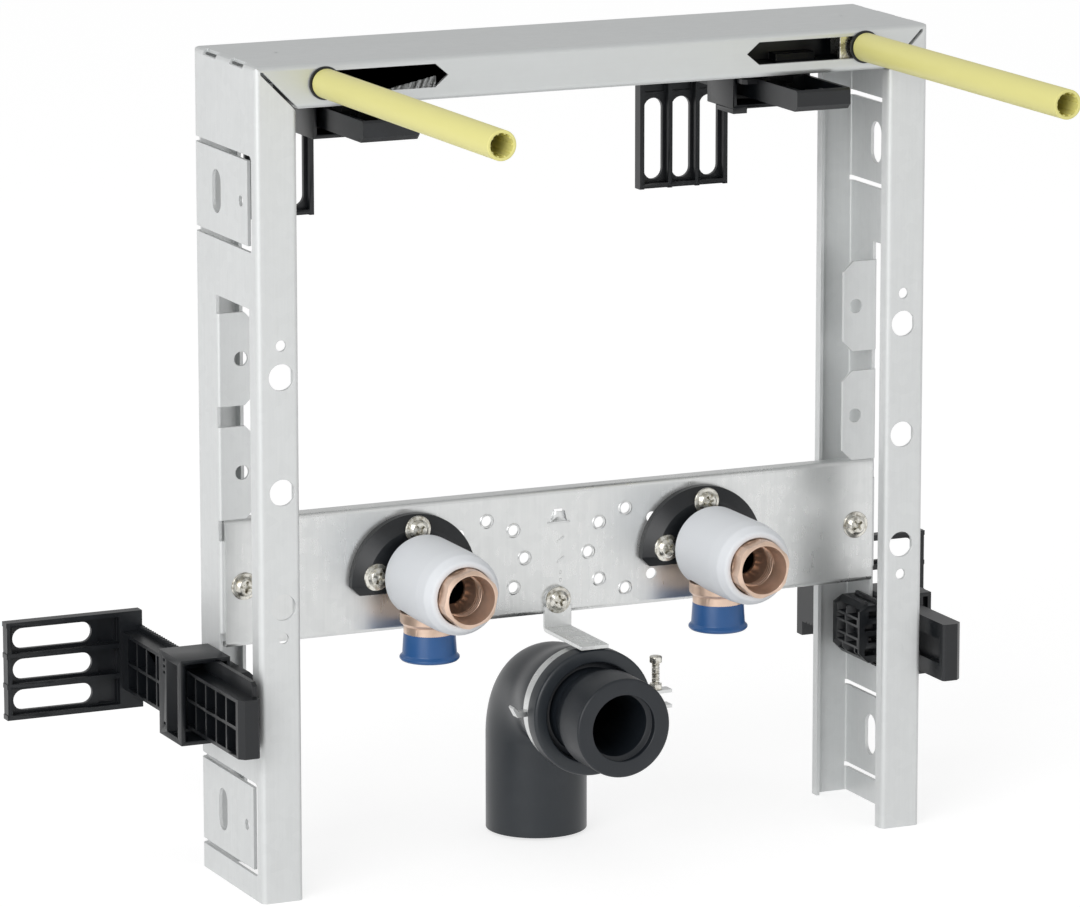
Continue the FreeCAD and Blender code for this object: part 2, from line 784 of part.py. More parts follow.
def screw_profile(drawing, seat, tail):
    """Half section of a domed screw whose head stands in front of its seat."""
    head = S["screw_head_diameter"] / 2
    shank = S["screw_shank_diameter"] / 2
    face = seat - S["screw_head_height"]
    drawing.polygon([
        (0, face),
        (S["screw_face_diameter"] / 2, face),
        (head, seat - S["screw_rim_height"]),
        (head, seat),
        (shank, seat),
        (shank, tail),
        (0, tail),
    ])


def make_screw(name, across, height, seat, tail):
    """One fixing screw pointing to the wall."""
    piece = Piece(name)
    screw_profile(piece.turned("XY", height, across), seat, tail)
    return piece


def make_elbow(name, side):
    """Brass elbow with a threaded mouth to the front and a tail downwards."""
    piece = Piece(name)
    centre = side * S["elbow_spacing"] / 2
    rear = CROSSBAR_FRONT - S["pad_floor"]
    outer = S["elbow_diameter"] / 2
    edge = S["elbow_edge"]
    tail = S["elbow_tail_diameter"] / 2
    neck = tail + S["elbow_neck_step"]
    collar = S["elbow_collar_diameter"] / 2
    tail_bottom = CROSSBAR_AXIS - S["elbow_tail_drop"]
    collar_bottom = CROSSBAR_AXIS - S["elbow_collar_drop"]
    collar_top = collar_bottom + S["elbow_collar_height"]
    piece.turned("XY", CROSSBAR_AXIS, centre).polygon([
        (0, -S["elbow_front"]),
        (outer - edge, -S["elbow_front"]),
        (outer, -S["elbow_front"] + edge),
        (outer, rear),
        (0, rear),
    ])
    piece.turned("XZ", S["elbow_outlet_depth"], centre).polygon([
        (0, tail_bottom),
        (tail, tail_bottom),
        (tail, collar_bottom),
        (collar, collar_bottom),
        (collar, collar_top),
        (neck, collar_top + 2 * S["elbow_neck_step"]),
        (neck, CROSSBAR_AXIS),
        (0, CROSSBAR_AXIS),
    ])
    mouth = -S["elbow_front"]
    piece.pocket("XZ", mouth - OVER, mouth + S["elbow_thread_depth"]).circle(
        centre, CROSSBAR_AXIS, S["elbow_thread_bore"]
    )
    piece.pocket("XZ", mouth, S["elbow_outlet_depth"]).circle(
        centre, CROSSBAR_AXIS, S["elbow_water_bore"]
    )
    drawing = piece.pocket("XY", tail_bottom - OVER, CROSSBAR_AXIS)
    drawing.circle(centre, S["elbow_outlet_depth"], S["elbow_water_bore"] - edge)
    return piece


def make_sleeve(name, side):
    """White insulating sleeve round the horizontal leg of an elbow."""
    piece = Piece(name)
    centre = side * S["elbow_spacing"] / 2
    outer = S["elbow_diameter"] / 2
    bore = outer + S["sleeve_clearance"]
    front = -S["sleeve_front"]
    nose = front + S["sleeve_nose_length"]
    rear = PAD_FRONT - S["screw_head_height"] - S["sleeve_rear_gap"]
    piece.turned("XY", CROSSBAR_AXIS, centre).polygon([
        (bore, front),
        (outer + S["sleeve_nose_wall"], front),
        (outer + S["sleeve_front_wall"], nose),
        (outer + S["sleeve_rear_wall"], rear),
        (bore, rear),
    ])
    low = CROSSBAR_AXIS - S["elbow_diameter"]
    piece.pocket("XY", low, CROSSBAR_AXIS).circle(
        centre, S["elbow_outlet_depth"], S["elbow_collar_diameter"] + 4 * S["sleeve_clearance"]
    )
    return piece


def make_pad(name, side):
    """Black D-shaped fixing flange behind an elbow, its rim sloping to the front."""
    piece = Piece(name)
    centre = side * S["elbow_spacing"] / 2
    half = S["pad_half_width"]
    arc = CROSSBAR_AXIS - S["pad_arc_drop"]
    bottom = CROSSBAR_AXIS - S["pad_below"]
    corner = S["pad_corner"]
    shoulder = PAD_FRONT + S["pad_edge"]
    piece.pad("XZ", shoulder, CROSSBAR_FRONT).dee(centre, half, arc, bottom, corner)
    base, face = piece.loft("XZ", [shoulder, PAD_FRONT])
    base.dee(centre, half, arc, bottom, corner)
    face.dee(centre, half - S["pad_bevel"], arc, bottom + S["pad_foot_bevel"], corner)
    holes = piece.pocket("XZ", PAD_FRONT - OVER, CROSSBAR_FRONT + OVER)
    for reach, rise in screw_places(side):
        holes.circle(reach, rise, SCREW_HOLE)
    piece.pocket("XZ", PAD_FRONT - OVER, CROSSBAR_FRONT - S["pad_floor"]).circle(
        centre, CROSSBAR_AXIS, S["elbow_diameter"] + S["screw_clearance"]
    )
    return piece


def make_pad_screws(name, side):
    """The three screws that hold one elbow flange on the crossbar."""
    piece = Piece(name)
    for reach, rise in screw_places(side):
        screw_profile(piece.turned("XY", rise, reach), PAD_FRONT, SCREW_TAIL)
    return piece


def make_cap(name, side):
    """Blue protective cap on the tail of an elbow, with a flared rim below."""
    piece = Piece(name)
    centre = side * S["elbow_spacing"] / 2
    outer = S["cap_diameter"] / 2
    rim = S["cap_rim_diameter"] / 2
    bore = S["elbow_tail_diameter"] / 2 + S["sleeve_clearance"]
    bottom = CROSSBAR_AXIS - S["cap_drop"]
    crown = CROSSBAR_AXIS - S["elbow_collar_drop"]
    rim_top = bottom + S["cap_rim_height"]
    piece.turned("XZ", S["elbow_outlet_depth"], centre).polygon([
        (0, bottom),
        (rim, bottom),
        (rim, rim_top),
        (outer, rim_top + S["cap_rim_slope"]),
        (outer, crown),
        (bore, crown),
        (bore, bottom + S["cap_floor"]),
        (0, bottom + S["cap_floor"]),
    ])
    return piece


def make_waste_bend():
    """Black waste bend: hollow pipe through a quarter turn, with a beaded socket in front."""
    piece = Piece("waste_bend")
    depth = S["waste_axis_depth"]
    height = S["waste_axis_height"]
    radius = S["waste_bend_radius"]
    rear = S["socket_rear"]
    path = Drawing(piece.body, "YZ", 0, "waste_bend_path")
    start = FreeCAD.Vector(depth.number, S["waste_bottom"].number, 0)
    low = FreeCAD.Vector(depth.number, (height - radius).number, 0)
    centre = FreeCAD.Vector((depth - radius).number, (height - radius).number, 0)
    high = FreeCAD.Vector((depth - radius).number, height.number, 0)
    front = FreeCAD.Vector((rear - OVER).number, height.number, 0)
    circle = Part.Circle(centre, FreeCAD.Vector(0, 0, 1), radius.number)
    path.sketch.addGeometry([
        Part.LineSegment(start, low),
        Part.ArcOfCircle(circle, 0, math.pi / 2),
        Part.LineSegment(high, front),
    ], False)
    path.sketch.addConstraint(Sketcher.Constraint("Tangent", 0, 2, 1, 1))
    path.sketch.addConstraint(Sketcher.Constraint("Tangent", 1, 2, 2, 1))
    path.tie("Radius", 1, 0, radius)
    path.tie("DistanceX", 0, 1, depth)
    path.tie("DistanceY", 0, 1, S["waste_bottom"])
    path.tie("DistanceX", 1, 3, depth - radius)
    path.tie("DistanceY", 1, 3, height - radius)
    path.tie("DistanceX", 2, 2, rear - OVER)
    ring = Drawing(piece.body, "XY", S["waste_bottom"], "waste_bend_ring")
    ring.circle(0, depth, S["waste_diameter"])
    ring.circle(0, depth, S["waste_diameter"] - 2 * S["waste_wall"])
    pipe = piece.body.newObject("PartDesign::AdditivePipe", "waste_bend_pipe")
    pipe.Profile = ring.sketch
    pipe.Spine = (path.sketch, ["Edge1", "Edge2", "Edge3"])

    bottom = S["socket_depth"]
    pipe_radius = S["waste_diameter"] / 2
    pipe_bore = pipe_radius - S["waste_wall"]
    bead = SOCKET_RADIUS + S["bead_step"]
    edge = S["bead_edge"]
    piece.turned("XY", height).polygon([
        (SOCKET_BORE, S["bead_front"]),
        (bead - edge, S["bead_front"]),
        (bead, S["bead_front"] + edge),
        (bead, S["bead_rear"] - edge),
        (bead - edge, S["bead_rear"]),
        (SOCKET_RADIUS, S["bead_rear"]),
        (SOCKET_RADIUS, bottom),
        (pipe_radius, rear),
        (pipe_bore, rear),
        (pipe_bore, bottom),
        (SOCKET_BORE, bottom),
    ])
    return piece


def make_waste_seal():
    """Rubber lip seal in the socket, its mouth to the front."""
    piece = Piece("waste_seal")
    bore = S["seal_bore"] / 2
    outer = bore + S["seal_wall"]
    edge = S["seal_edge"]
    mouth = S["seal_mouth"]
    front = -S["seal_front"]
    piece.turned("XY", S["waste_axis_height"]).polygon([
        (bore + mouth, front),
        (outer - edge, front),
        (outer, front + edge),
        (outer, S["bead_front"]),
        (SOCKET_BORE, S["bead_front"]),
        (SOCKET_BORE, S["seal_rear"]),
        (bore, S["seal_rear"]),
        (bore, front + mouth),
    ])
    return piece


def make_waste_clamp():
    """Pipe clamp: ring round the socket, two ears right, a closed one left, a stud on top."""
    piece = Piece("waste_clamp")
    height = S["waste_axis_height"]
    inner = CLAMP_INNER
    outer = inner + S["clamp_sheet"]
    front = S["clamp_front"]
    rear = front + S["clamp_width"]
    half_gap = S["clamp_ear_gap"] / 2
    sheet = S["clamp_sheet"]
    ring = piece.pad("XZ", front, rear)
    ring.circle(0, height, outer * 2)
    ring.circle(0, height, inner * 2)
    root = inner + sheet / 2
    for low in (height + half_gap, height - half_gap - sheet):
        piece.pad("XZ", front, rear).rectangle(root, low, S["clamp_ear_right"], low + sheet)
    piece.pad("XZ", front, rear).rectangle(
        -S["clamp_ear_left"], height - sheet, -root, height + sheet
    )
    piece.pocket("XZ", front - OVER, rear + OVER).rectangle(
        inner - 2 * sheet, height - half_gap, outer + OVER, height + half_gap
    )
    reach = S["clamp_screw_reach"]
    middle = front + S["clamp_width"] / 2
    piece.pocket("XY", height - 2 * half_gap - sheet, height + 2 * half_gap + sheet).circle(
        reach, middle, S["clamp_screw_diameter"] + S["screw_clearance"]
    )
    crown = height + inner + sheet / 2
    piece.pad("XY", crown, STRAP_UNDERSIDE).circle(0, middle, S["clamp_width"] - sheet / 2)
    return piece


def make_waste_clamp_screw():
    """Long screw that closes the clamp, head up, with a nut under the lower ear."""
    piece = Piece("waste_clamp_screw")
    height = S["waste_axis_height"]
    head = S["clamp_head_diameter"] / 2
    shank = S["clamp_screw_diameter"] / 2
    upper_ear = height + S["clamp_ear_gap"] / 2 + S["clamp_sheet"]
    lower_ear = height - S["clamp_ear_gap"] / 2 - S["clamp_sheet"]
    middle = S["clamp_front"] + S["clamp_width"] / 2
    top = height + S["clamp_screw_above"]
    bottom = height - S["clamp_screw_below"]
    nut = S["clamp_nut_diameter"] / 2
    nut_height = S["clamp_nut_height"]
    piece.turned("XZ", middle, S["clamp_screw_reach"]).polygon([
        (0, bottom),
        (shank, bottom),
        (shank, lower_ear - nut_height),
        (nut, lower_ear - nut_height),
        (nut, lower_ear),
        (shank, lower_ear),
        (shank, upper_ear),
        (head, upper_ear),
        (head, upper_ear + nut_height),
        (shank, upper_ear + nut_height),
        (shank, top - S["clamp_head_height"]),
        (head, top - S["clamp_head_height"]),
        (head, top),
        (0, top),
    ])
    return piece


def make_waste_bracket():
    """Bent strap from the crossbar forward over the clamp."""
    piece = Piece("waste_bracket")
    half = S["strap_width"] / 2
    sheet = S["strap_sheet"]
    under = STRAP_UNDERSIDE
    front = CROSSBAR_FRONT - sheet
    piece.pad("XZ", front, CROSSBAR_FRONT).dee(0, half, STRAP_SCREW, under)
    piece.pad("XY", under, under + sheet).rectangle(-half, S["strap_front"], half, CROSSBAR_FRONT)
    piece.round_edges(S["bend_inside"] + sheet, "X", [(CROSSBAR_FRONT, under)])
    piece.pocket("XZ", front - OVER, CROSSBAR_FRONT + OVER).circle(0, STRAP_SCREW, SCREW_HOLE)
    return piece


def make_stud(name, side):
    """M10 basin stud with its nut inside the rail."""
    piece = Piece(name)
    centre = side * STUD_X
    radius = S["stud_diameter"] / 2
    front = -S["tube_length"] + S["stud_recess"]
    chamfer = S["stud_chamfer"]
    piece.turned("XY", STUD_HEIGHT, centre).polygon([
        (0, front),
        (radius - chamfer, front),
        (radius, front + chamfer),
        (radius, S["stud_rear"]),
        (0, S["stud_rear"]),
    ])
    return piece


def make_tube(name, side):
    """Yellow protective tube over the stud."""
    piece = Piece(name)
    centre = side * STUD_X
    tube = piece.pad("XZ", -S["tube_length"], -S["tube_seat_gap"])
    tube.circle(centre, STUD_HEIGHT, S["tube_diameter"])
    tube.circle(centre, STUD_HEIGHT, S["tube_bore"])
    return piece


def make_slide(name, side):
    """Steel slide plate behind the rail's flange with its nut on the stud."""
    piece = Piece(name)
    centre = side * STUD_X
    height = STUD_HEIGHT
    front = SHEET + S["holder_clearance"]
    rear = front + S["slide_sheet"]
    half = S["slide_length"] / 2
    tall = S["slide_height"] / 2
    piece.pad("XZ", front, rear).rectangle(centre - half, height - tall, centre + half, height + tall)
    nut_front = SHEET + S["guide_depth"] + S["holder_clearance"]
    across = S["nut_width"] / 2
    low = S["nut_height"] / 2
    nut_rear = nut_front + S["nut_depth"]
    piece.pad("XZ", rear, nut_rear).rectangle(
        centre - across, height - low, centre + across, height + low
    )
    piece.pocket("XZ", front - OVER, nut_rear + OVER).circle(centre, height, S["stud_diameter"])
    return piece


def make_guide(name, side):
    """Black guide behind the rail's flange, open upwards and along the stud's travel."""
    piece = Piece(name)
    height = STUD_HEIGHT
    inner = STUD_SLOT_INNER - S["guide_inner_margin"]
    outer = STUD_SLOT_OUTER + S["guide_outer_margin"]
    bottom = height - S["guide_below"]
    crown = height + S["guide_above"]
    wall = S["guide_wall"]
    floor = S["guide_floor"]
    front = SHEET
    rear = SHEET + S["guide_depth"]
    low, high = sorted_sides(side, inner, outer)
    piece.pad("XZ", front, rear).rectangle(low, bottom, high, crown)
    low, high = sorted_sides(side, inner + wall, outer - wall)
    piece.pocket("XZ", front - OVER, rear - floor).rectangle(low, bottom + wall, high, crown + OVER)
    nut_bottom = height - S["nut_height"] / 2 - 2 * S["holder_clearance"]
    piece.pocket("XZ", rear - floor - OVER, rear + OVER).rectangle(low, nut_bottom, high, crown + OVER)
    return piece


def sorted_sides(side, inner, outer):
    """Low and high coordinate of a span given by its distances from the middle."""
    if side > 0:
        return inner, outer
    return -outer, -inner


def anchor_places():
    """Where the four anchors sit: name, place, turn about the depth axis and hand."""
    return [
        ("lower_left", -HALF_WIDTH, S["anchor_low_height"], 180.0, 1),
        ("lower_right", HALF_WIDTH, S["anchor_low_height"], 0.0, 1),
        ("upper_left", S["anchor_top_inset"] - HALF_WIDTH, RAIL_EDGE, 90.0, -1),
        ("upper_right", HALF_WIDTH - S["anchor_top_inset"], RAIL_EDGE, 90.0, 1),
    ]


def make_wall_anchor(place, across, height, turn, hand):
    """Moulded wall anchor: cellular arm, toothed rack along one edge and slotted plate.

    Its own X runs away from the sheet it slides on, its Z across the arm.
    """
    piece = Piece("wall_anchor_" + place, across, height, turn)
    near = S["anchor_standoff"]
    far = near + S["anchor_thickness"]
    half = S["anchor_width"] / 2
    front = -S["anchor_front"]
    plate = S["anchor_plate_front"]
    wall = S["anchor_wall"]

    piece.pad("XZ", front, ANCHOR_REAR).rectangle(near, -half, far, half)
    plate_half = S["anchor_plate_width"] / 2
    plate_end = S["anchor_plate_reach"]
    rib = S["anchor_rim_wall"]
    pitch = S["anchor_slot_pitch"]
    piece.pad("XZ", plate, ANCHOR_REAR).rectangle(near, -plate_half, plate_end, plate_half)
    rib_ends = piece.pad("XZ", plate, ANCHOR_REAR)
    for line in (rib / 2 - plate_half, -pitch / 2, pitch / 2, plate_half - rib / 2):
        rib_ends.rectangle(plate_end - rib, line - rib / 2, plate_end + S["anchor_rib_end"], line + rib / 2)

    make_rack(piece, near, half, plate, hand)

    fields = piece.pocket("XZ", plate - OVER, ANCHOR_REAR - S["anchor_plate_floor"])
    slots = piece.pocket("XZ", plate - OVER, ANCHOR_REAR + OVER)
    slot_middle = plate_end - S["anchor_slot_end"] - S["anchor_slot_length"] / 2
    for row in (-1, 0, 1):
        low = row * pitch - (pitch - rib) / 2 if row >= 0 else rib - plate_half
        high = row * pitch + (pitch - rib) / 2 if row <= 0 else plate_half - rib
        fields.rectangle(far + wall, low, plate_end - rib, high)
        slots.slot(slot_middle, row * pitch, S["anchor_slot_length"], S["anchor_slot_width"])

    cell_depth = S["anchor_thickness"] - S["anchor_floor"]
    cells = piece.pocket("YZ", far - cell_depth, far + OVER)
    first = front + S["anchor_end_wall"]
    row_height = half - wall * 1.5
    for row in (0, 1):
        bottom = -half + wall if row == 0 else wall / 2
        cells.rectangle(first, bottom, first + S["anchor_cell"] - wall, bottom + row_height)
    length = (S["anchor_plate_front"] - first).number
    piece.repeat("Y", S["anchor_cell"], int(length / S["anchor_cell"].number))

    channel = piece.pocket("YZ", near - OVER, near + S["anchor_channel_depth"])
    channel.rectangle(
        -S["anchor_channel_front"],
        -S["anchor_channel_width"] / 2,
        plate - S["anchor_cell"],
        S["anchor_channel_width"] / 2,
    )
    return piece


def make_rack(piece, near, half, plate, hand):
    """Thin strip along one edge of an anchor's arm, toothed along its free edge."""
    edge = half + S["rack_width"]
    pitch = S["tooth_pitch"]
    root = edge - S["tooth_depth"]
    low, high = (-edge, -half) if hand > 0 else (half, edge)
    piece.pad("XZ", -S["rack_front"], plate).rectangle(near, low, near + S["rack_thickness"], high)
    gap = piece.pocket("YZ", near - OVER, near + S["rack_thickness"] + OVER)
    start = -S["rack_front"] + pitch / 4
    outline = [
        (start, edge + OVER),
        (start, edge),
        (start + pitch / 4, root),
        (start + pitch / 2, edge),
        (start + pitch / 2, edge + OVER),
    ]
    gap.polygon([(y, -hand * z) for y, z in outline])
    length = (S["anchor_plate_front"] + S["rack_front"]).number
    piece.repeat("Y", pitch, int(length / pitch.number))


def make_anchor_holder(place, across, height, turn, hand):
    """Black holder round an anchor's arm, with a neck and a fluted block inside the sheet."""
    piece = Piece("anchor_holder_" + place, across, height, turn)
    front = TAB_FRONT - S["holder_lead"]
    rear = DEPTH - S["holder_rear_gap"]
    rack_side, plain_side = S["holder_rack_side"], S["holder_plain_side"]
    low, high = (-rack_side, plain_side) if hand > 0 else (-plain_side, rack_side)
    clearance = S["holder_clearance"]
    piece.pad("XZ", front, rear).rectangle(0, low, S["holder_depth"], high)

    near = S["anchor_standoff"]
    half = S["anchor_width"] / 2
    rack_edge = half + S["rack_width"]
    tunnel = piece.pocket("XZ", front - OVER, rear + OVER)
    arm_far = near + S["anchor_thickness"] + clearance
    rack_far = near + S["rack_thickness"] + clearance
    outline = [
        (near - clearance, half + clearance),
        (near - clearance, -rack_edge - clearance),
        (rack_far, -rack_edge - clearance),
        (rack_far, -half - clearance),
        (arm_far, -half - clearance),
        (arm_far, half + clearance),
    ]
    tunnel.polygon([(x, hand * z) for x, z in outline])

    wall = S["holder_wall"]
    depth = S["holder_depth"]
    recess = piece.pocket("YZ", depth - S["holder_recess"], depth + OVER)
    rib = S["holder_rib"] / 2
    middle = (low + high) / 2
    recess.rectangle(front + wall, low + wall, rear - wall, middle - rib)
    recess.rectangle(front + wall, middle + rib, rear - wall, high - wall)

    neck = S["holder_neck_half"]
    neck_rear = TAB_REAR - S["holder_neck_clearance"]
    piece.pad("XY", -neck, neck).rectangle(-SHEET, front, 0, neck_rear)
    inner = FLANGE - SHEET
    piece.pad("XY", -neck, neck).rectangle(-inner, front, -SHEET, rear)
    flutes = piece.pocket("XY", -neck + SHEET, neck - SHEET)
    step = S["holder_flute"]
    for number in range(3):
        start = front + SHEET + number * 2 * step
        flutes.rectangle(-inner - OVER, start, -inner + S["holder_flute_depth"], start + step)
    return piece


def make_model():
    """Every sub-part of the frame, in order from the portal outwards."""
    pieces = [
        make_upright("left_upright", -1),
        make_upright("right_upright", 1),
        make_top_rail(),
        make_crossbar(),
    ]
    crossbar_tail = SCREW_TAIL + SHEET
    strap_front = CROSSBAR_FRONT - S["strap_sheet"]
    for side, word in ((-1, "left"), (1, "right")):
        pieces.append(
            make_screw("crossbar_screw_" + word, side * FIXING_X, CROSSBAR_AXIS, CROSSBAR_FRONT, crossbar_tail)
        )
        pieces.append(make_elbow("tap_elbow_" + word, side))
        pieces.append(make_sleeve("elbow_sleeve_" + word, side))
        pieces.append(make_pad("elbow_flange_" + word, side))
        pieces.append(make_pad_screws("elbow_screws_" + word, side))
        pieces.append(make_cap("elbow_cap_" + word, side))
        pieces.append(make_stud("basin_stud_" + word, side))
        pieces.append(make_tube("stud_tube_" + word, side))
        pieces.append(make_slide("stud_slide_" + word, side))
        pieces.append(make_guide("rail_guide_" + word, side))
    pieces.append(make_waste_bend())
    pieces.append(make_waste_seal())
    pieces.append(make_waste_clamp())
    pieces.append(make_waste_clamp_screw())
    pieces.append(make_waste_bracket())
    pieces.append(
        make_screw("waste_bracket_screw", 0, STRAP_SCREW, strap_front, crossbar_tail)
    )
    for place in anchor_places():
        pieces.append(make_wall_anchor(*place))
        pieces.append(make_anchor_holder(*place))
    return pieces


def export(pieces):
    """Check every object and write each sub-part to its own file."""
    DOCUMENT.recompute()
    for item in DOCUMENT.Objects:
        if "Invalid" in item.State or "Error" in item.State:
            raise RuntimeError(f"{item.Name}: {item.State}")
    os.makedirs("parts", exist_ok=True)
    for piece in pieces:
        shape = piece.body.Shape
        if shape.isNull() or not shape.isValid() or not shape.Solids:
            raise RuntimeError(f"{piece.name}: no valid solid")
        shape.exportStep(f"parts/{piece.name}.step")
        print(f"{piece.name}: {len(shape.Solids)} solid, {shape.Volume:.0f} mm3")


export(make_model())
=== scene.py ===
"""Looks of a basin installation frame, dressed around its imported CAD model.

Lengths are in metres in the CAD model's own frame: +X to the right seen from
the room, +Y to the wall, +Z up, the origin on the floor.
"""

import sys
import logging
import math
from dataclasses import dataclass
from enum import Enum
from typing import Iterable, Iterator, Mapping, Sequence, Union

import bmesh
import bpy
from mathutils import Matrix, Vector


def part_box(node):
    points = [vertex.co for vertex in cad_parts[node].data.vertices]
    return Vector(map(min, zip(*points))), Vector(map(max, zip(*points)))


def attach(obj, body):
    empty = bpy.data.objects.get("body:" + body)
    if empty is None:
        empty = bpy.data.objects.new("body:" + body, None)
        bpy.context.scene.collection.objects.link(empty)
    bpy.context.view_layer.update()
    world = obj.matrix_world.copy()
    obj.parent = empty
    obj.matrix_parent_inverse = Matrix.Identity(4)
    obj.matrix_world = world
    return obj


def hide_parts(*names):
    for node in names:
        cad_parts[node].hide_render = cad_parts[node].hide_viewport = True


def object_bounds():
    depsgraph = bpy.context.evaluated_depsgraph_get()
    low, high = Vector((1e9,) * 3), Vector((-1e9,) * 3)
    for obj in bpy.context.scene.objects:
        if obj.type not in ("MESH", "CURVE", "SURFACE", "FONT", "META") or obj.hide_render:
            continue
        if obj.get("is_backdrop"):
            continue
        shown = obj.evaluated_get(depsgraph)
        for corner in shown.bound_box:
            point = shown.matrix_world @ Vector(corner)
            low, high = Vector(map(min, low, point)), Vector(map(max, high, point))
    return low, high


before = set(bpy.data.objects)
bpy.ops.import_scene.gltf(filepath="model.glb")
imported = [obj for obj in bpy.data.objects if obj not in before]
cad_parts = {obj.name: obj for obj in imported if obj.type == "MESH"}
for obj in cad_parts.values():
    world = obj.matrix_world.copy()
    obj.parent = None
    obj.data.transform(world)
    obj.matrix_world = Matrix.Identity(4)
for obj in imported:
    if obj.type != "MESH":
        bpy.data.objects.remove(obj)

CAD_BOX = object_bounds()
LOG = logging.getLogger("basin_frame")
MM = 0.001
WELD = 0.001 * MM
CAD_WELD = 0.002 * MM
CAD_FLAT = math.radians(0.5)
EVEN = (1.0, 1.0, 1.0)
RIGHTWARD = Vector((1, 0, 0))
ROOMWARD = Vector((0, -1, 0))
WALLWARD = Vector((0, 1, 0))
UPWARD = Vector((0, 0, 1))
SIDES = ((-1, "left"), (1, "right"))
PLACES = ("lower_left", "lower_right", "upper_left", "upper_right")

Colour = tuple[float, float, float]
Term = Union["Wire", float, Sequence[float], bpy.types.ID, str, bool, int]


def srgb(red: float, green: float, blue: float) -> Colour:
    """Turn a colour as it looks on screen, 0 to 255, into linear light, 0 to 1."""
    return tuple(((c / 255 + 0.055) / 1.055) ** 2.4 for c in (red, green, blue))


# Node trees


class Wire:
    """A value that runs through a node tree; arithmetic on it adds Math nodes."""

    def __init__(self, graph: "Graph", socket: bpy.types.NodeSocket) -> None:
        """Keep the socket that carries the value."""
        self.graph = graph
        self.socket = socket

    def of(self, name: str) -> "Wire":
        """Another output of the same node."""
        return Wire(self.graph, self.socket.node.outputs[name])

    def maths(self, operation: str, *terms: Term, clamp: bool = False) -> "Wire":
        """The result of a Math node on the terms, kept between 0 and 1 if clamped."""
        settings = {"operation": operation, "use_clamp": clamp}
        return self.graph.node("ShaderNodeMath", settings, dict(enumerate(terms)))

    def __add__(self, other: Term) -> "Wire":
        """The sum."""
        return self.maths("ADD", self, other)

    def __radd__(self, other: Term) -> "Wire":
        """The sum with a number first."""
        return self.maths("ADD", other, self)

    def __sub__(self, other: Term) -> "Wire":
        """The difference."""
        return self.maths("SUBTRACT", self, other)

    def __rsub__(self, other: Term) -> "Wire":
        """The difference from a number."""
        return self.maths("SUBTRACT", other, self)

    def __mul__(self, other: Term) -> "Wire":
        """The product."""
        return self.maths("MULTIPLY", self, other)

    def __rmul__(self, other: Term) -> "Wire":
        """The product with a number first."""
        return self.maths("MULTIPLY", other, self)

    def __truediv__(self, other: Term) -> "Wire":
        """The quotient."""
        return self.maths("DIVIDE", self, other)

    def clamped(self) -> "Wire":
        """The value kept between 0 and 1."""
        return self.maths("ADD", self, 0.0, clamp=True)

    def eased(self, low: float, high: float) -> "Wire":
        """A smooth step from 0 where the value is low to 1 where it is high."""
        ends = {"Value": self, "From Min": low, "From Max": high}
        return self.graph.node("ShaderNodeMapRange", {"interpolation_type": "SMOOTHSTEP"}, ends)


class Graph:
    """A node tree with one way to add a node."""

    def __init__(self, tree: bpy.types.NodeTree) -> None:
        """Keep the tree."""
        self.tree = tree

    def node(
        self,
        kind: str,
        settings: Mapping[str, object] | None = None,
        inputs: Mapping[Union[str, int], Term] | None = None,
        output: Union[str, int] = 0,
    ) -> Wire | None:
        """Add a node.

        Args:
            kind: The node's type.
            settings: Its properties, set first; "stops" are a ramp's places and colours.
            inputs: Values or wires of its sockets, by name or number.
            output: The output to return.

        Returns:
            The chosen output, or nothing from a node that has none.
        """
        made = self.tree.nodes.new(kind)
        for name, value in (settings or {}).items():
            if name == "stops":
                while len(made.color_ramp.elements) < len(value):
                    made.color_ramp.elements.new(0.5)
                for element, (place, colour) in zip(made.color_ramp.elements, value):
                    element.position = place
                    element.color = (*colour, 1.0)
            else:
                setattr(made, name, value)
        for key, value in (inputs or {}).items():
            socket = made.inputs[key]
            if isinstance(value, Wire):
                self.tree.links.new(value.socket, socket)
            else:
                socket.default_value = value
        return Wire(self, made.outputs[output]) if len(made.outputs) else None

    def blended(self, factor: Term, first: Term, second: Term) -> Wire:
        """Two colours mixed; the factor is the share of the second."""
        ends = {0: factor, 6: as_rgba(first), 7: as_rgba(second)}
        return self.node("ShaderNodeMix", {"data_type": "RGBA"}, ends, output=2)

    def place(self, scale: Sequence[float] = EVEN) -> Wire:
        """Object coordinates, stretched along each axis for a pattern."""
        spot = self.node("ShaderNodeTexCoord", output="Object")
        return self.node("ShaderNodeMapping", None, {"Vector": spot, "Scale": scale})

    def noise(self, place: Wire, scale: float, detail: float = 2.0, rough: float = 0.5) -> Wire:
        """Soft noise from 0 to 1, with so many spots to the metre and finer layers."""
        sizes = {"Vector": place, "Scale": scale, "Detail": detail, "Roughness": rough}
        return self.node("ShaderNodeTexNoise", None, sizes)

    def bump(self, height: Wire, strength: float, distance: float) -> Wire:
        """A normal bent by a height from 0 to 1 that stands for a distance in metres."""
        sizes = {"Height": height, "Strength": strength, "Distance": distance}
        return self.node("ShaderNodeBump", None, sizes)


def emptied(owner: Union[bpy.types.Material, bpy.types.World]) -> Graph:
    """The node tree of a new material or world, cleared.

    Args:
        owner: The material or world.

    Returns:
        Its graph.
    """
    owner.use_nodes = True
    owner.node_tree.nodes.clear()
    return Graph(owner.node_tree)


def as_rgba(value: Term) -> Term:
    """Give a plain colour its alpha.

    Args:
        value: A colour, or a wire that carries one.

    Returns:
        The colour with its alpha, or the wire as it is.
    """
    if isinstance(value, Wire) or len(value) == 4:
        return value
    return (*value, 1.0)


# Finishes


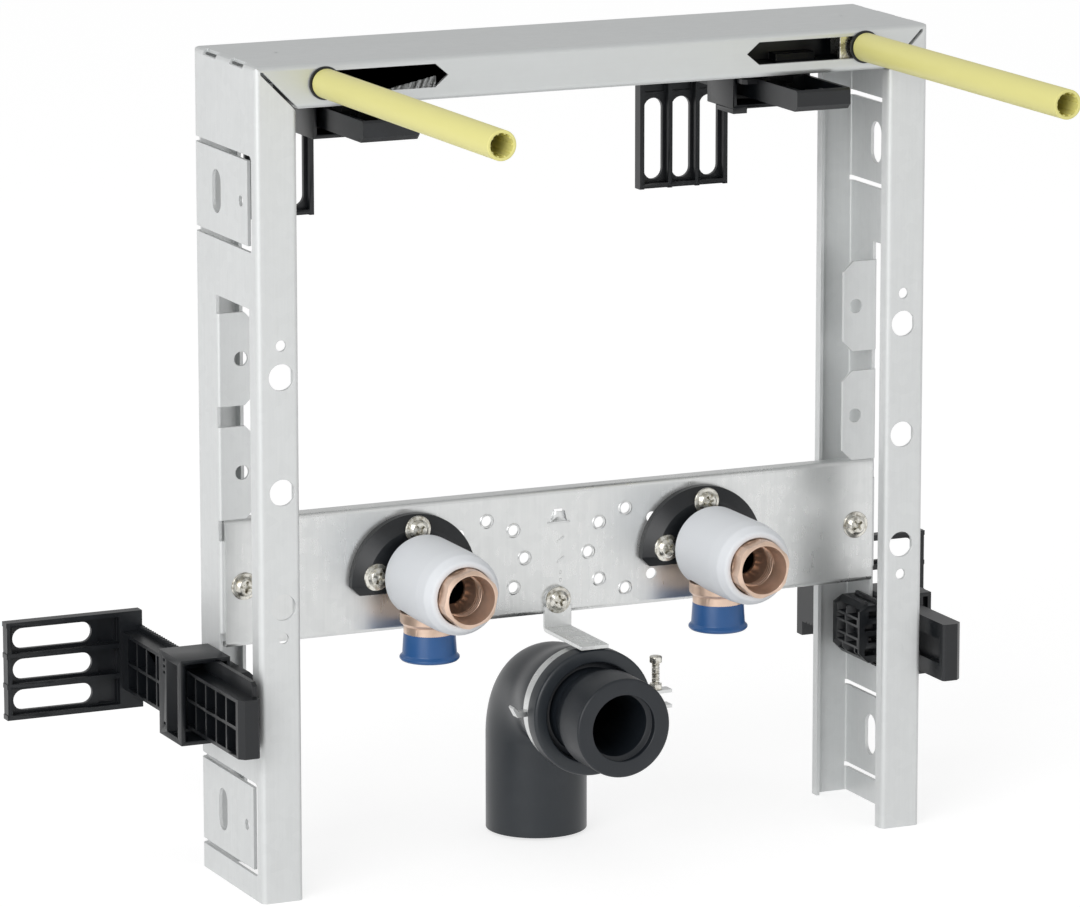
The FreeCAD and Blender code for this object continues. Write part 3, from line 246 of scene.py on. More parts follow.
class Slot(Enum):
    """The record's material slots."""

    SHEET = "galvanised"
    SCREW = "zinc_screw"
    BRASS = "brass"
    FOAM = "white_foam"
    PLASTIC = "black_plastic"
    PIPE = "grey_pipe"
    RUBBER = "rubber"
    CAP = "blue_plastic"
    TUBE = "yellow_plastic"


class Grain(Enum):
    """Scale of the rolling streaks along X, Y and Z: they run where it is small."""

    UPRIGHT = (1.0, 1.0, 0.045)
    ACROSS = (0.045, 1.0, 1.0)


@dataclass(frozen=True)
class Finish:
    """A surface: its colour, gloss and the pattern that breaks it up."""

    name: str
    slot: Slot
    colour: Colour
    roughness: float
    metallic: float = 0.0
    coat: float = 0.0

    def material(self) -> bpy.types.Material:
        """The finish's material, made once.

        Returns:
            The material.
        """
        known = bpy.data.materials.get(self.name)
        if known:
            return known
        made = bpy.data.materials.new(self.name)
        graph = emptied(made)
        inputs = {"Metallic": self.metallic, "Coat Weight": self.coat, **self.pattern(graph)}
        shader = graph.node("ShaderNodeBsdfPrincipled", None, inputs)
        graph.node("ShaderNodeOutputMaterial", None, {"Surface": shader})
        return made

    def pattern(self, graph: Graph) -> dict[str, Term]:
        """Inputs of the shader that vary over the surface."""
        raise NotImplementedError(self.name)


@dataclass(frozen=True)
class GalvanisedSheet(Finish):
    """Zinc-coated sheet: rolling streaks, a faint spangle and handling marks."""

    grain: Grain = Grain.UPRIGHT
    dull: Colour = srgb(206, 208, 208)
    streak_scale: float = 700.0
    spangle_scale: float = 220.0
    smear_scale: float = 12.0

    def pattern(self, graph: Graph) -> dict[str, Term]:
        """Streaks and spangle in colour and gloss, with a light bump.

        Args:
            graph: The material's nodes.

        Returns:
            Inputs of the shader, by name.
        """
        streaks = graph.noise(graph.place(self.grain.value), self.streak_scale, 3.0, 0.6)
        even = graph.place()
        smear = graph.noise(even, self.smear_scale, 3.0)
        cells = {"Vector": even, "Scale": self.spangle_scale}
        flakes = graph.node("ShaderNodeTexVoronoi", {"feature": "F1"}, cells)
        flake = graph.node("ShaderNodeSeparateColor", None, {"Color": flakes.of("Color")})
        worn = (streaks * 0.40 + smear * 0.36 + flake * 0.14 - 0.04).clamped()
        return {
            "Base Color": graph.blended(worn, self.colour, self.dull),
            "Roughness": streaks * 0.12 + flake * 0.04 + smear * 0.10 + (self.roughness - 0.13),
            "Normal": graph.bump(streaks * 0.8 + flake * 0.2, 0.035, 0.00005),
        }


@dataclass(frozen=True)
class PlatedSteel(Finish):
    """Zinc-plated fastener: bright, with a little mottled tarnish."""

    tarnish: Colour = srgb(150, 144, 128)
    mottle_scale: float = 420.0

    def pattern(self, graph: Graph) -> dict[str, Term]:
        """Mottled colour and gloss.

        Args:
            graph: The material's nodes.

        Returns:
            Inputs of the shader, by name.
        """
        mottle = graph.noise(graph.place(), self.mottle_scale, 4.0, 0.6)
        return {
            "Base Color": graph.blended(mottle.eased(0.42, 0.72), self.colour, self.tarnish),
            "Roughness": mottle * 0.2 + (self.roughness - 0.1),
            "Normal": graph.bump(mottle, 0.15, 0.00008),
        }


@dataclass(frozen=True)
class TurnedBrass(Finish):
    """Red brass turned on a lathe: fine rings, an uneven tint and painted shade deep in the water way.
    """

    deep: Colour = srgb(204, 178, 158)
    # Near-black painted shade for deep inside the water way, past a depth and above a height
    painted_shade: Colour = srgb(14, 9, 7)
    ring_scale: float = 2600.0
    ring_way: tuple[float, float, float] = (0.02, 1.0, 0.02)
    tint_scale: float = 90.0
    shade_from: float = 28.6 * MM
    shade_above: float = 131.0 * MM

    def pattern(self, graph: Graph) -> dict[str, Term]:
        """Fine rings along the axis and a slow change of tint, with painted shade deep inside the bore.

        Args:
            graph: The material's nodes.

        Returns:
            Inputs of the shader, by name.
        """
        rings = graph.noise(graph.place(self.ring_way), self.ring_scale, 2.0, 0.6)
        tint = graph.noise(graph.place(), self.tint_scale, 3.0)
        spot = graph.node("ShaderNodeSeparateXYZ", None, {0: graph.place()})
        # Painted shade: the metal turns near-black behind a depth and above a height, where the bore
        # lies in shadow
        behind = spot.of("Y").eased(self.shade_from - 0.5 * MM, self.shade_from + 1.5 * MM)
        above = spot.of("Z").eased(self.shade_above - MM, self.shade_above + MM)
        painted_shade_mask = behind * above
        metal = graph.blended(tint.eased(0.35, 0.75), self.colour, self.deep)
        return {
            "Base Color": graph.blended(painted_shade_mask, metal, self.painted_shade),
            "Roughness": rings * 0.16 + painted_shade_mask * 0.4 + (self.roughness - 0.08),
            "Normal": graph.bump(rings, 0.12, 0.00005),
        }


@dataclass(frozen=True)
class Moulded(Finish):
    """Moulded plastic: fine grain, flow marks and a soft sheen."""

    scuffed: Colour = srgb(74, 78, 84)
    grain_scale: float = 1500.0
    grain_height: float = 0.00005
    flow_scale: float = 45.0

    def pattern(self, graph: Graph) -> dict[str, Term]:
        """Grain in gloss and normal, faint scuffs in colour.

        Args:
            graph: The material's nodes.

        Returns:
            Inputs of the shader, by name.
        """
        even = graph.place()
        grain = graph.noise(even, self.grain_scale, 2.0)
        flow = graph.noise(even, self.flow_scale, 4.0, 0.6)
        return {
            "Base Color": graph.blended(flow.eased(0.45, 0.95) * 0.20, self.colour, self.scuffed),
            "Roughness": flow * 0.16 + grain * 0.06 + (self.roughness - 0.11),
            "Normal": graph.bump(grain, 0.25, self.grain_height),
        }


ZINC = srgb(224, 226, 226)
GALVANISED = GalvanisedSheet("galvanised_upright", Slot.SHEET, ZINC, 0.42, 0.36)
GALVANISED_RAIL = GalvanisedSheet(
    "galvanised_rail", Slot.SHEET, srgb(210, 213, 213), 0.40, 0.55, grain=Grain.ACROSS
)
GALVANISED_BAR = GalvanisedSheet("galvanised_crossbar", Slot.SHEET, srgb(228, 229, 228), 0.30, 0.85)
PLATED = PlatedSteel("zinc_plated_screw", Slot.SCREW, srgb(226, 224, 216), 0.26, 1.0)
BRASS = TurnedBrass("turned_brass", Slot.BRASS, srgb(232, 204, 184), 0.32, 0.72)
FOAM = Moulded(
    "white_sleeve", Slot.FOAM, srgb(228, 231, 235), 0.50,
    scuffed=srgb(210, 214, 220), grain_scale=900.0, grain_height=0.0001,
)
BLACK = Moulded("black_moulding", Slot.PLASTIC, srgb(15, 18, 22), 0.36)
PIPE = Moulded("waste_pipe", Slot.PIPE, srgb(36, 41, 46), 0.36)
RUBBER = Moulded("seal_rubber", Slot.RUBBER, srgb(24, 29, 35), 0.42)
BLUE = Moulded("blue_cap", Slot.CAP, srgb(40, 88, 144), 0.34, scuffed=srgb(58, 104, 156))
YELLOW = Moulded("yellow_tube", Slot.TUBE, srgb(226, 220, 140), 0.42, scuffed=srgb(236, 231, 166))


# Meshes and pieces


def in_scene(name: str, data: bpy.types.ID) -> bpy.types.Object:
    """Put an object in the scene.

    Args:
        name: Its name.
        data: The mesh, lamp or camera that it shows.

    Returns:
        The object.
    """
    obj = bpy.data.objects.new(name, data)
    bpy.context.scene.collection.objects.link(obj)
    return obj


def evaluated(obj: bpy.types.Object) -> bpy.types.Mesh:
    """The plain mesh that an object's modifiers make; the object is removed.

    Args:
        obj: An object that is linked to the scene.

    Returns:
        The mesh.
    """
    depsgraph = bpy.context.evaluated_depsgraph_get()
    mesh = bpy.data.meshes.new_from_object(obj.evaluated_get(depsgraph))
    bpy.data.objects.remove(obj)
    return mesh


def shaded(mesh: bpy.types.Mesh, angle: float = 35.0) -> bpy.types.Mesh:
    """Shade a mesh smooth, with its sharper edges kept.

    Args:
        mesh: The mesh.
        angle: Edges above this many degrees stay sharp.

    Returns:
        The same mesh.
    """
    mesh.shade_smooth()
    mesh.set_sharp_from_angle(angle=math.radians(angle))
    return mesh


def from_bmesh(bm: bmesh.types.BMesh, name: str) -> bpy.types.Mesh:
    """Turn a bmesh's faces outwards and make it a mesh.

    Args:
        bm: The bmesh, which is freed.
        name: The mesh's name.

    Returns:
        The mesh.
    """
    bmesh.ops.remove_doubles(bm, verts=bm.verts, dist=WELD)
    bmesh.ops.recalc_face_normals(bm, faces=bm.faces)
    mesh = bpy.data.meshes.new(name)
    bm.to_mesh(mesh)
    bm.free()
    return mesh


def piece(
    name: str,
    mesh: bpy.types.Mesh,
    finish: Finish,
    body: str = "frame",
    replaces: Sequence[str] = (),
) -> bpy.types.Object:
    """Make a finished piece that moves with a body.

    Args:
        name: The piece's name.
        mesh: Its mesh, in place.
        finish: Its surface.
        body: The CAD body that carries it.
        replaces: CAD nodes that it stands for.

    Returns:
        The piece.
    """
    obj = in_scene(name, mesh)
    mesh.materials.clear()
    mesh.materials.append(finish.material())
    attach(obj, body)
    if replaces:
        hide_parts(*replaces)
    return obj


def merged_copy(node: str) -> bpy.types.Mesh:
    """A copy of a CAD node's mesh, its points merged and its flat faces joined.

    Args:
        node: The CAD node.

    Returns:
        The new mesh.
    """
    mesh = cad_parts[node].data.copy()
    bm = bmesh.new()
    bm.from_mesh(mesh)
    bmesh.ops.remove_doubles(bm, verts=bm.verts, dist=CAD_WELD)
    bmesh.ops.dissolve_limit(
        bm, angle_limit=CAD_FLAT, verts=bm.verts, edges=bm.edges, delimit={"NORMAL"}
    )
    bm.to_mesh(mesh)
    bm.free()
    return shaded(mesh)


class Meeting(Enum):
    """What becomes of a solid where another meets it."""

    TAKEN = "DIFFERENCE"
    ADDED = "UNION"
    SHARED = "INTERSECT"


def carved(
    mesh: bpy.types.Mesh, tools: Sequence[bpy.types.Mesh], meeting: Meeting = Meeting.TAKEN
) -> bpy.types.Mesh:
    """Cut, join or limit a mesh by closed solids, one after the other.

    Args:
        mesh: The mesh.
        tools: The closed solids.
        meeting: What they do to the mesh.

    Returns:
        The new mesh.
    """
    for tool in tools:
        solid = in_scene("solid", mesh)
        other = in_scene("tool", tool)
        boolean = solid.modifiers.new("carve", "BOOLEAN")
        boolean.operation = meeting.value
        boolean.object = other
        boolean.solver = "EXACT"
        mesh = evaluated(solid)
        bpy.data.objects.remove(other)
    return mesh


def parted(mesh: bpy.types.Mesh, way: Vector, spots: Sequence[float]) -> bpy.types.Mesh:
    """Split the faces that cross some planes, so no face holds many openings.

    Args:
        mesh: The mesh.
        way: Direction across the planes.
        spots: Where the planes stand along it.

    Returns:
        The same mesh.
    """
    bm = bmesh.new()
    bm.from_mesh(mesh)
    for spot in spots:
        parts = [*bm.verts, *bm.edges, *bm.faces]
        bmesh.ops.bisect_plane(bm, geom=parts, dist=WELD, plane_co=way * spot, plane_no=way)
    bm.to_mesh(mesh)
    bm.free()
    return mesh


def bevelled(
    mesh: bpy.types.Mesh, width: float, segments: int = 2, angle: float = 34.0
) -> bpy.types.Mesh:
    """Round a mesh's sharp edges.

    Args:
        mesh: The mesh.
        width: Width of the rounding.
        segments: Steps across it.
        angle: Edges above this many degrees are rounded.

    Returns:
        The new mesh.
    """
    scratch = in_scene("edges", shaded(mesh))
    bevel = scratch.modifiers.new("edges", "BEVEL")
    bevel.width = width
    bevel.segments = segments
    bevel.limit_method = "ANGLE"
    bevel.angle_limit = math.radians(angle)
    bevel.miter_outer = "MITER_ARC"
    weigh = scratch.modifiers.new("normals", "WEIGHTED_NORMAL")
    weigh.keep_sharp = True
    weigh.weight = 80
    return evaluated(scratch)


def softened(
    node: str, width: float, segments: int = 2, cutters: Sequence[bpy.types.Mesh] = ()
) -> bpy.types.Mesh:
    """A copy of a CAD node's mesh, cut by closed solids and with its sharp edges rounded."""
    return bevelled(carved(merged_copy(node), cutters), width, segments)


def block(low: Sequence[float], high: Sequence[float]) -> bpy.types.Mesh:
    """A rectangular solid between two corners.

    Args:
        low: Lowest corner.
        high: Highest corner.

    Returns:
        The mesh.
    """
    bm = bmesh.new()
    bmesh.ops.create_cube(bm, size=1.0)
    size = Vector(high) - Vector(low)
    bmesh.ops.scale(bm, vec=size, verts=bm.verts)
    bmesh.ops.translate(bm, vec=(Vector(high) + Vector(low)) / 2, verts=bm.verts)
    return from_bmesh(bm, "block")


def lofted(rings: Sequence[Sequence[Vector]], looped: bool = False) -> bpy.types.Mesh:
    """A closed solid through rings of equally many points.

    Args:
        rings: The rings, from one end to the other.
        looped: Whether the last ring meets the first, in place of two end faces.

    Returns:
        The mesh.
    """
    bm = bmesh.new()
    rows = [[bm.verts.new(point) for point in ring] for ring in rings]
    for low, high in zip(rows, rows[1:] + (rows[:1] if looped else [])):
        for i in range(len(low)):
            j = (i + 1) % len(low)
            bm.faces.new((low[i], low[j], high[j], high[i]))
    if not looped:
        bm.faces.new(rows[0][::-1])
        bm.faces.new(rows[-1])
    return from_bmesh(bm, "lofted")


def turned(
    profile: Sequence[tuple[float, float]], centre: Vector, axis: Vector, steps: int = 72
) -> bpy.types.Mesh:
    """A closed solid of revolution.

    Args:
        profile: Pairs of radius and distance along the axis, round the section.
        centre: Where the distance is 0.
        axis: Direction of the axis.
        steps: Facets round the axis.

    Returns:
        The mesh.
    """
    bm = bmesh.new()
    turn = UPWARD.rotation_difference(axis).to_matrix()
    rings = []
    for step in range(steps):
        angle = 2 * math.pi * step / steps
        spots = [Vector((r * math.cos(angle), r * math.sin(angle), h)) for r, h in profile]
        rings.append([bm.verts.new(centre + turn @ spot) for spot in spots])
    for step in range(steps):
        here, there = rings[step], rings[(step + 1) % steps]
        for i in range(len(profile)):
            j = (i + 1) % len(profile)
            if profile[i][0] > 0 or profile[j][0] > 0:
                bm.faces.new((here[i], there[i], there[j], here[j]))
    return shaded(from_bmesh(bm, "turned"))


def cylinder(
    radius: float, start: float, end: float, centre: Vector, axis: Vector, steps: int = 72
) -> bpy.types.Mesh:
    """A round solid between two distances along an axis."""
    return turned([(0.0, start), (radius, start), (radius, end), (0.0, end)], centre, axis, steps)


def rounded(
    corners: Sequence[tuple[float, float, float]], steps: int = 5
) -> list[tuple[float, float]]:
    """Round the corners of a closed section.

    Args:
        corners: Corner points, each with its radius.
        steps: Facets of a rounded corner.

    Returns:
        Points round the section.
    """
    points = []
    for i, (x, y, radius) in enumerate(corners):
        if radius <= 0:
            points.append((x, y))
            continue
        here = Vector((x, y))
        before = (Vector(corners[i - 1][:2]) - here).normalized()
        after = (Vector(corners[(i + 1) % len(corners)][:2]) - here).normalized()
        half = before.angle(after) / 2
        start = here + before * (radius / math.tan(half))
        middle = here + (before + after).normalized() * (radius / math.sin(half))
        end = here + after * (radius / math.tan(half))
        sweep = (start - middle).angle_signed(end - middle)
        for step in range(steps + 1):
            turn = Matrix.Rotation(-sweep * step / steps, 2)
            points.append(tuple(middle + turn @ (start - middle)))
    return points


def moved(mesh: bpy.types.Mesh, centre: Vector, axis: Vector) -> bpy.types.Mesh:
    """Place a mesh made along +Z from the origin.

    Args:
        mesh: The mesh, changed in place.
        centre: Its new origin.
        axis: Where its +Z goes.

    Returns:
        The same mesh.
    """
    turn = UPWARD.rotation_difference(axis).to_matrix().to_4x4()
    mesh.transform(Matrix.Translation(centre) @ turn)
    return mesh


def joined(meshes: Sequence[bpy.types.Mesh]) -> bpy.types.Mesh:
    """One mesh with the faces of several.

    Args:
        meshes: The meshes.

    Returns:
        The new mesh.
    """
    bm = bmesh.new()
    for mesh in meshes:
        bm.from_mesh(mesh)
    result = bpy.data.meshes.new(meshes[0].name)
    bm.to_mesh(result)
    bm.free()
    return shaded(result)


def middle_of(node: str) -> Vector:
    """Centre of a CAD node's box."""
    low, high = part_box(node)
    return (low + high) / 2


def at_depth(spot: Vector, depth: float) -> Vector:
    """The place in front of or behind a spot that has a given Y."""
    return Vector((spot.x, depth, spot.z))


def tap_axis() -> float:
    """Height of the taps' axis, where the crossbar's screws sit too."""
    return middle_of("crossbar_screw_left").z


# Growth by Geometry Nodes


class Grower:
    """A Geometry Nodes tree with named inputs, used once and turned into a mesh."""

    KINDS = {int: "NodeSocketInt", float: "NodeSocketFloat", bpy.types.Object: "NodeSocketObject"}

    def __init__(self, name: str, inputs: Mapping[str, object]) -> None:
        """Start a tree.

        Args:
            name: The tree's name.
            inputs: Its named inputs with their values.
        """
        self.name = name
        self.values = inputs
        self.tree = bpy.data.node_groups.new(name, "GeometryNodeTree")
        face = self.tree.interface
        face.new_socket("Geometry", in_out="INPUT", socket_type="NodeSocketGeometry")
        for label, value in inputs.items():
            kind = next(k for t, k in self.KINDS.items() if isinstance(value, t))
            face.new_socket(label, in_out="INPUT", socket_type=kind)
        face.new_socket("Geometry", in_out="OUTPUT", socket_type="NodeSocketGeometry")
        self.graph = Graph(self.tree)
        self.source = self.graph.node("NodeGroupInput")

    def grown(self, result: Wire, finish: Finish, seeds: Iterable[Vector] = ()) -> bpy.types.Mesh:
        """Close the tree with Realize Instances and Set Material and evaluate it.

        Args:
            result: The geometry that the tree makes.
            finish: Its surface.
            seeds: Points that the tree starts from.

        Returns:
            The plain mesh.
        """
        graph = self.graph
        real = graph.node("GeometryNodeRealizeInstances", None, {"Geometry": result})
        surface = {"Geometry": real, "Material": finish.material()}
        dressed = graph.node("GeometryNodeSetMaterial", None, surface)
        graph.node("NodeGroupOutput", None, {"Geometry": dressed})
        mesh = bpy.data.meshes.new(self.name)
        mesh.from_pydata([tuple(p) for p in seeds], [], [])
        obj = in_scene(self.name, mesh)
        modifier = obj.modifiers.new(self.name, "NODES")
        modifier.node_group = self.tree
        for item in self.tree.interface.items_tree:
            if item.in_out == "INPUT" and item.name in self.values:
                modifier[item.identifier] = self.values[item.name]
        grown = evaluated(obj)
        bpy.data.node_groups.remove(self.tree)
        return grown


def thread_ridge(
    name: str, radius: float, pitch: float, length: float, depth: float, finish: Finish
) -> bpy.types.Mesh:
    """A thread's ridge as a spiral along +Z from the origin.

    Args:
        name: Name of the tree.
        radius: Radius of the ridge's middle.
        pitch: Rise of one turn.
        length: Length of the thread.
        depth: Half height of the ridge's section.
        finish: Its surface.

    Returns:
        The mesh.
    """
    sizes = {"Radius": radius, "Length": length, "Turns": length / pitch, "Depth": depth}
    grower = Grower(name, sizes)
    graph, source = grower.graph, grower.source
    spiral = graph.node("GeometryNodeCurveSpiral", None, {
        "Resolution": 36,
        "Rotations": source.of("Turns"),
        "Start Radius": source.of("Radius"),
        "End Radius": source.of("Radius"),
        "Height": source.of("Length"),
    })
    diamond = {"Resolution": 4, "Radius": source.of("Depth")}
    section = graph.node("GeometryNodeCurvePrimitiveCircle", None, diamond)
    sweep = {"Curve": spiral, "Profile Curve": section, "Fill Caps": True}
    ridge = graph.node("GeometryNodeCurveToMesh", None, sweep)
    return shaded(grower.grown(ridge, finish), 50)


def repeated(
    name: str,
    pattern: bpy.types.Mesh,
    places: Sequence[Vector],
    finish: Finish,
    chance_turn: float = 0.0,
    seed: int = 1,
) -> bpy.types.Mesh:
    """A mesh set on many places, each turned about its own Y axis by chance.

    Args:
        name: Name of the tree.
        pattern: The mesh, made round the origin.
        places: Where it is set.
        finish: Its surface.
        chance_turn: Largest turn in radians.
        seed: Fixes the chance.

    Returns:
        The mesh.
    """
    shape = in_scene(name + "_pattern", pattern)
    grower = Grower(name, {"Pattern": shape, "Seed": seed, "Turn": chance_turn})
    graph, source = grower.graph, grower.source
    held = graph.node("GeometryNodeObjectInfo", None, {"Object": source.of("Pattern")}).of("Geometry")
    most = graph.node("ShaderNodeCombineXYZ", None, {"Y": source.of("Turn")})
    chance = {0: (0.0, 0.0, 0.0), 1: most, "Seed": source.of("Seed")}
    turn = graph.node("FunctionNodeRandomValue", {"data_type": "FLOAT_VECTOR"}, chance)
    spread = {"Points": source.of("Geometry"), "Instance": held, "Rotation": turn}
    rows = graph.node("GeometryNodeInstanceOnPoints", None, spread)
    grown = grower.grown(rows, finish, places)
    bpy.data.objects.remove(shape)
    return shaded(grown)


# Sub-assemblies


@dataclass
class Portal:
    """The bent sheet portal: two uprights and the top rail."""

    edge: float = 0.22 * MM
    dimple_radius: float = 1.7 * MM
    dimple_height: float = 0.5 * MM
    dimple_inset: float = 26.0 * MM
    dimple_depth: float = 40.0 * MM

    def build(self) -> Iterator[bpy.types.Object]:
        """Dress the three lengths of sheet and press the dimples.

        Returns:
            The pieces in order.
        """
        sheets = {"left_upright": GALVANISED, "right_upright": GALVANISED, "top_rail": GALVANISED_RAIL}
        for node, finish in sheets.items():
            yield piece(node + "_sheet", softened(node, self.edge), finish, replaces=[node])
        yield self.dimples()

    def dimples(self) -> bpy.types.Object:
        """Pressed dimples on the rail's web, near its ends.

        Returns:
            The piece.
        """
        low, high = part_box("top_rail")
        level = high.z - self.dimple_height
        profile = rounded([
            (0.0, -self.dimple_height, 0.0),
            (self.dimple_radius, -self.dimple_height, 0.0),
            (self.dimple_radius, 0.0, 0.1 * MM),
            (self.dimple_radius * 0.5, self.dimple_height, 0.5 * MM),
            (0.0, self.dimple_height, 0.0),
        ])
        dimple = turned(profile, Vector(), UPWARD, 32)
        spots = [
            Vector((side * (high.x - self.dimple_inset), low.y + self.dimple_depth, level))
            for side, _ in SIDES
        ]
        mesh = repeated("dimples", dimple, spots, GALVANISED_RAIL)
        return piece("rail_dimples", mesh, GALVANISED_RAIL)


@dataclass
class Crossbar:
    """The crossbar with the rims of its ring holes and its stamped marks."""

    edge: float = 0.22 * MM
    ring_offset: float = 37.0 * MM
    ring_radius: float = 20.0 * MM
    ring_holes: int = 8
    rim_inner: float = 2.72 * MM
    rim_width: float = 1.0 * MM
    rim_height: float = 0.42 * MM
    covered_from: float = 44.0 * MM
    hood_width: float = 3.4 * MM
    hood_length: float = 6.4 * MM
    hood_rise: float = 2.1 * MM
    hood_wall: float = 0.7 * MM
    hood_above_axis: float = 16.4 * MM
    hood_facets: int = 12
    hood_shares: tuple[float, ...] = (0.0, 0.15, 0.35, 0.6, 0.85, 1.0)
    window_half: float = 2.55 * MM
    window_sill: float = 1.2 * MM
    apron_half: float = 5.95 * MM
    apron_height: float = 0.7 * MM
    apron_rise: float = 0.5 * MM
    bedded: float = 0.3 * MM
    marks_across: float = 1.2 * MM
    tick_length: float = 4.6 * MM
    tick_width: float = 0.9 * MM
    tick_lean: float = 36.0
    tick_rises: tuple[float, float] = (7.6 * MM, -2.4 * MM)
    dot_rises: tuple[float, float] = (-8.8 * MM, -12.6 * MM)
    dot_half: tuple[float, float] = (0.6 * MM, 0.8 * MM)
    stamp_edge: float = 0.2 * MM

    def build(self) -> Iterator[bpy.types.Object]:
        """Dress the bar and stamp it.

        Returns:
            The pieces in order.
        """
        self.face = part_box("crossbar")[0].y
        self.axis = tap_axis()
        foot = self.axis + self.hood_above_axis
        window = block(
            (self.marks_across - self.window_half, self.face - 2 * MM, foot + self.window_sill),
            (self.marks_across + self.window_half, self.face + 3 * MM, foot + self.hood_length),
        )
        bar = softened("crossbar", self.edge, cutters=[window])
        yield piece("crossbar_sheet", bar, GALVANISED_BAR, replaces=["crossbar"])
        yield self.rims()
        yield self.hood(foot)
        yield self.ticks()

    def rims(self) -> bpy.types.Object:
        """Raised rims round the ring holes that the tap flanges leave bare.

        Returns:
            The piece.
        """
        outer = self.rim_inner + self.rim_width
        profile = rounded([
            (self.rim_inner, 0.3 * MM, 0.0),
            (outer, 0.3 * MM, 0.0),
            (outer, -0.05 * MM, 0.0),
            (self.rim_inner + self.rim_width * 0.45, -self.rim_height, 0.3 * MM),
            (self.rim_inner, -self.rim_height * 0.6, 0.1 * MM),
        ], 3)
        rim = turned(profile, Vector(), WALLWARD, 28)
        spots = []
        for side, _ in SIDES:
            for hole in range(self.ring_holes):
                angle = 2 * math.pi * hole / self.ring_holes
                across = side * self.ring_offset + self.ring_radius * math.cos(angle)
                height = self.axis + self.ring_radius * math.sin(angle)
                if abs(across) < self.covered_from:
                    spots.append(Vector((across, self.face, height)))
        mesh = repeated("hole_rims", rim, spots, GALVANISED_BAR)
        return piece("crossbar_hole_rims", mesh, GALVANISED_BAR)

    def hood(self, foot: float) -> bpy.types.Object:
        """The lanced hood over the small window, open at its top.

        Args:
            foot: Height of its lower end.

        Returns:
            The piece.
        """
        rings = []
        for share in self.hood_shares:
            rise = self.hood_rise * math.sin(math.pi / 2 * min(1.0, share * 1.6))
            half = self.hood_width * (1.35 - 0.45 * share)
            height = foot + self.hood_length * 0.86 * share
            outer, inner = [], []
            for step in range(self.hood_facets + 1):
                angle = math.pi * step / self.hood_facets
                across = self.marks_across + half * math.cos(angle)
                outer.append(Vector((across, self.face - rise * math.sin(angle) - 0.05 * MM, height)))
                depth = self.face + self.bedded - max(rise - self.hood_wall, 0.0) * math.sin(angle)
                inner.append(Vector((across * 0.999, depth, height)))
            rings.append(outer + inner[::-1])
        front, rear = self.face - self.apron_rise, self.face + self.bedded
        apron = bevelled(block(
            (self.marks_across - self.apron_half, front, foot - self.apron_height),
            (self.marks_across + self.apron_half, rear, foot + 0.3 * MM),
        ), self.stamp_edge)
        return piece("crossbar_hood", joined([shaded(lofted(rings), 50), apron]), GALVANISED_BAR)

    def ticks(self) -> bpy.types.Object:
        """Two slanting ticks and two dots stamped below the hood.

        Returns:
            The piece.
        """
        lean = Matrix.Rotation(-math.radians(self.tick_lean), 4, "Y")
        tick = block(
            (-self.tick_length / 2, -0.3 * MM, -self.tick_width / 2),
            (self.tick_length / 2, 0.2 * MM, self.tick_width / 2),
        )
        tick.transform(lean)
        wide, tall = self.dot_half
        dot = block((-wide, -0.25 * MM, -tall), (wide, 0.2 * MM, tall))
        across = self.marks_across + 1.0 * MM
        parts = []
        for name, stamp, rises in (("ticks", tick, self.tick_rises), ("dots", dot, self.dot_rises)):
            spots = [Vector((across, self.face, self.axis + rise)) for rise in rises]
            parts.append(repeated(name, bevelled(stamp, self.stamp_edge), spots, GALVANISED_BAR))
        return piece("crossbar_ticks", joined(parts), GALVANISED_BAR)


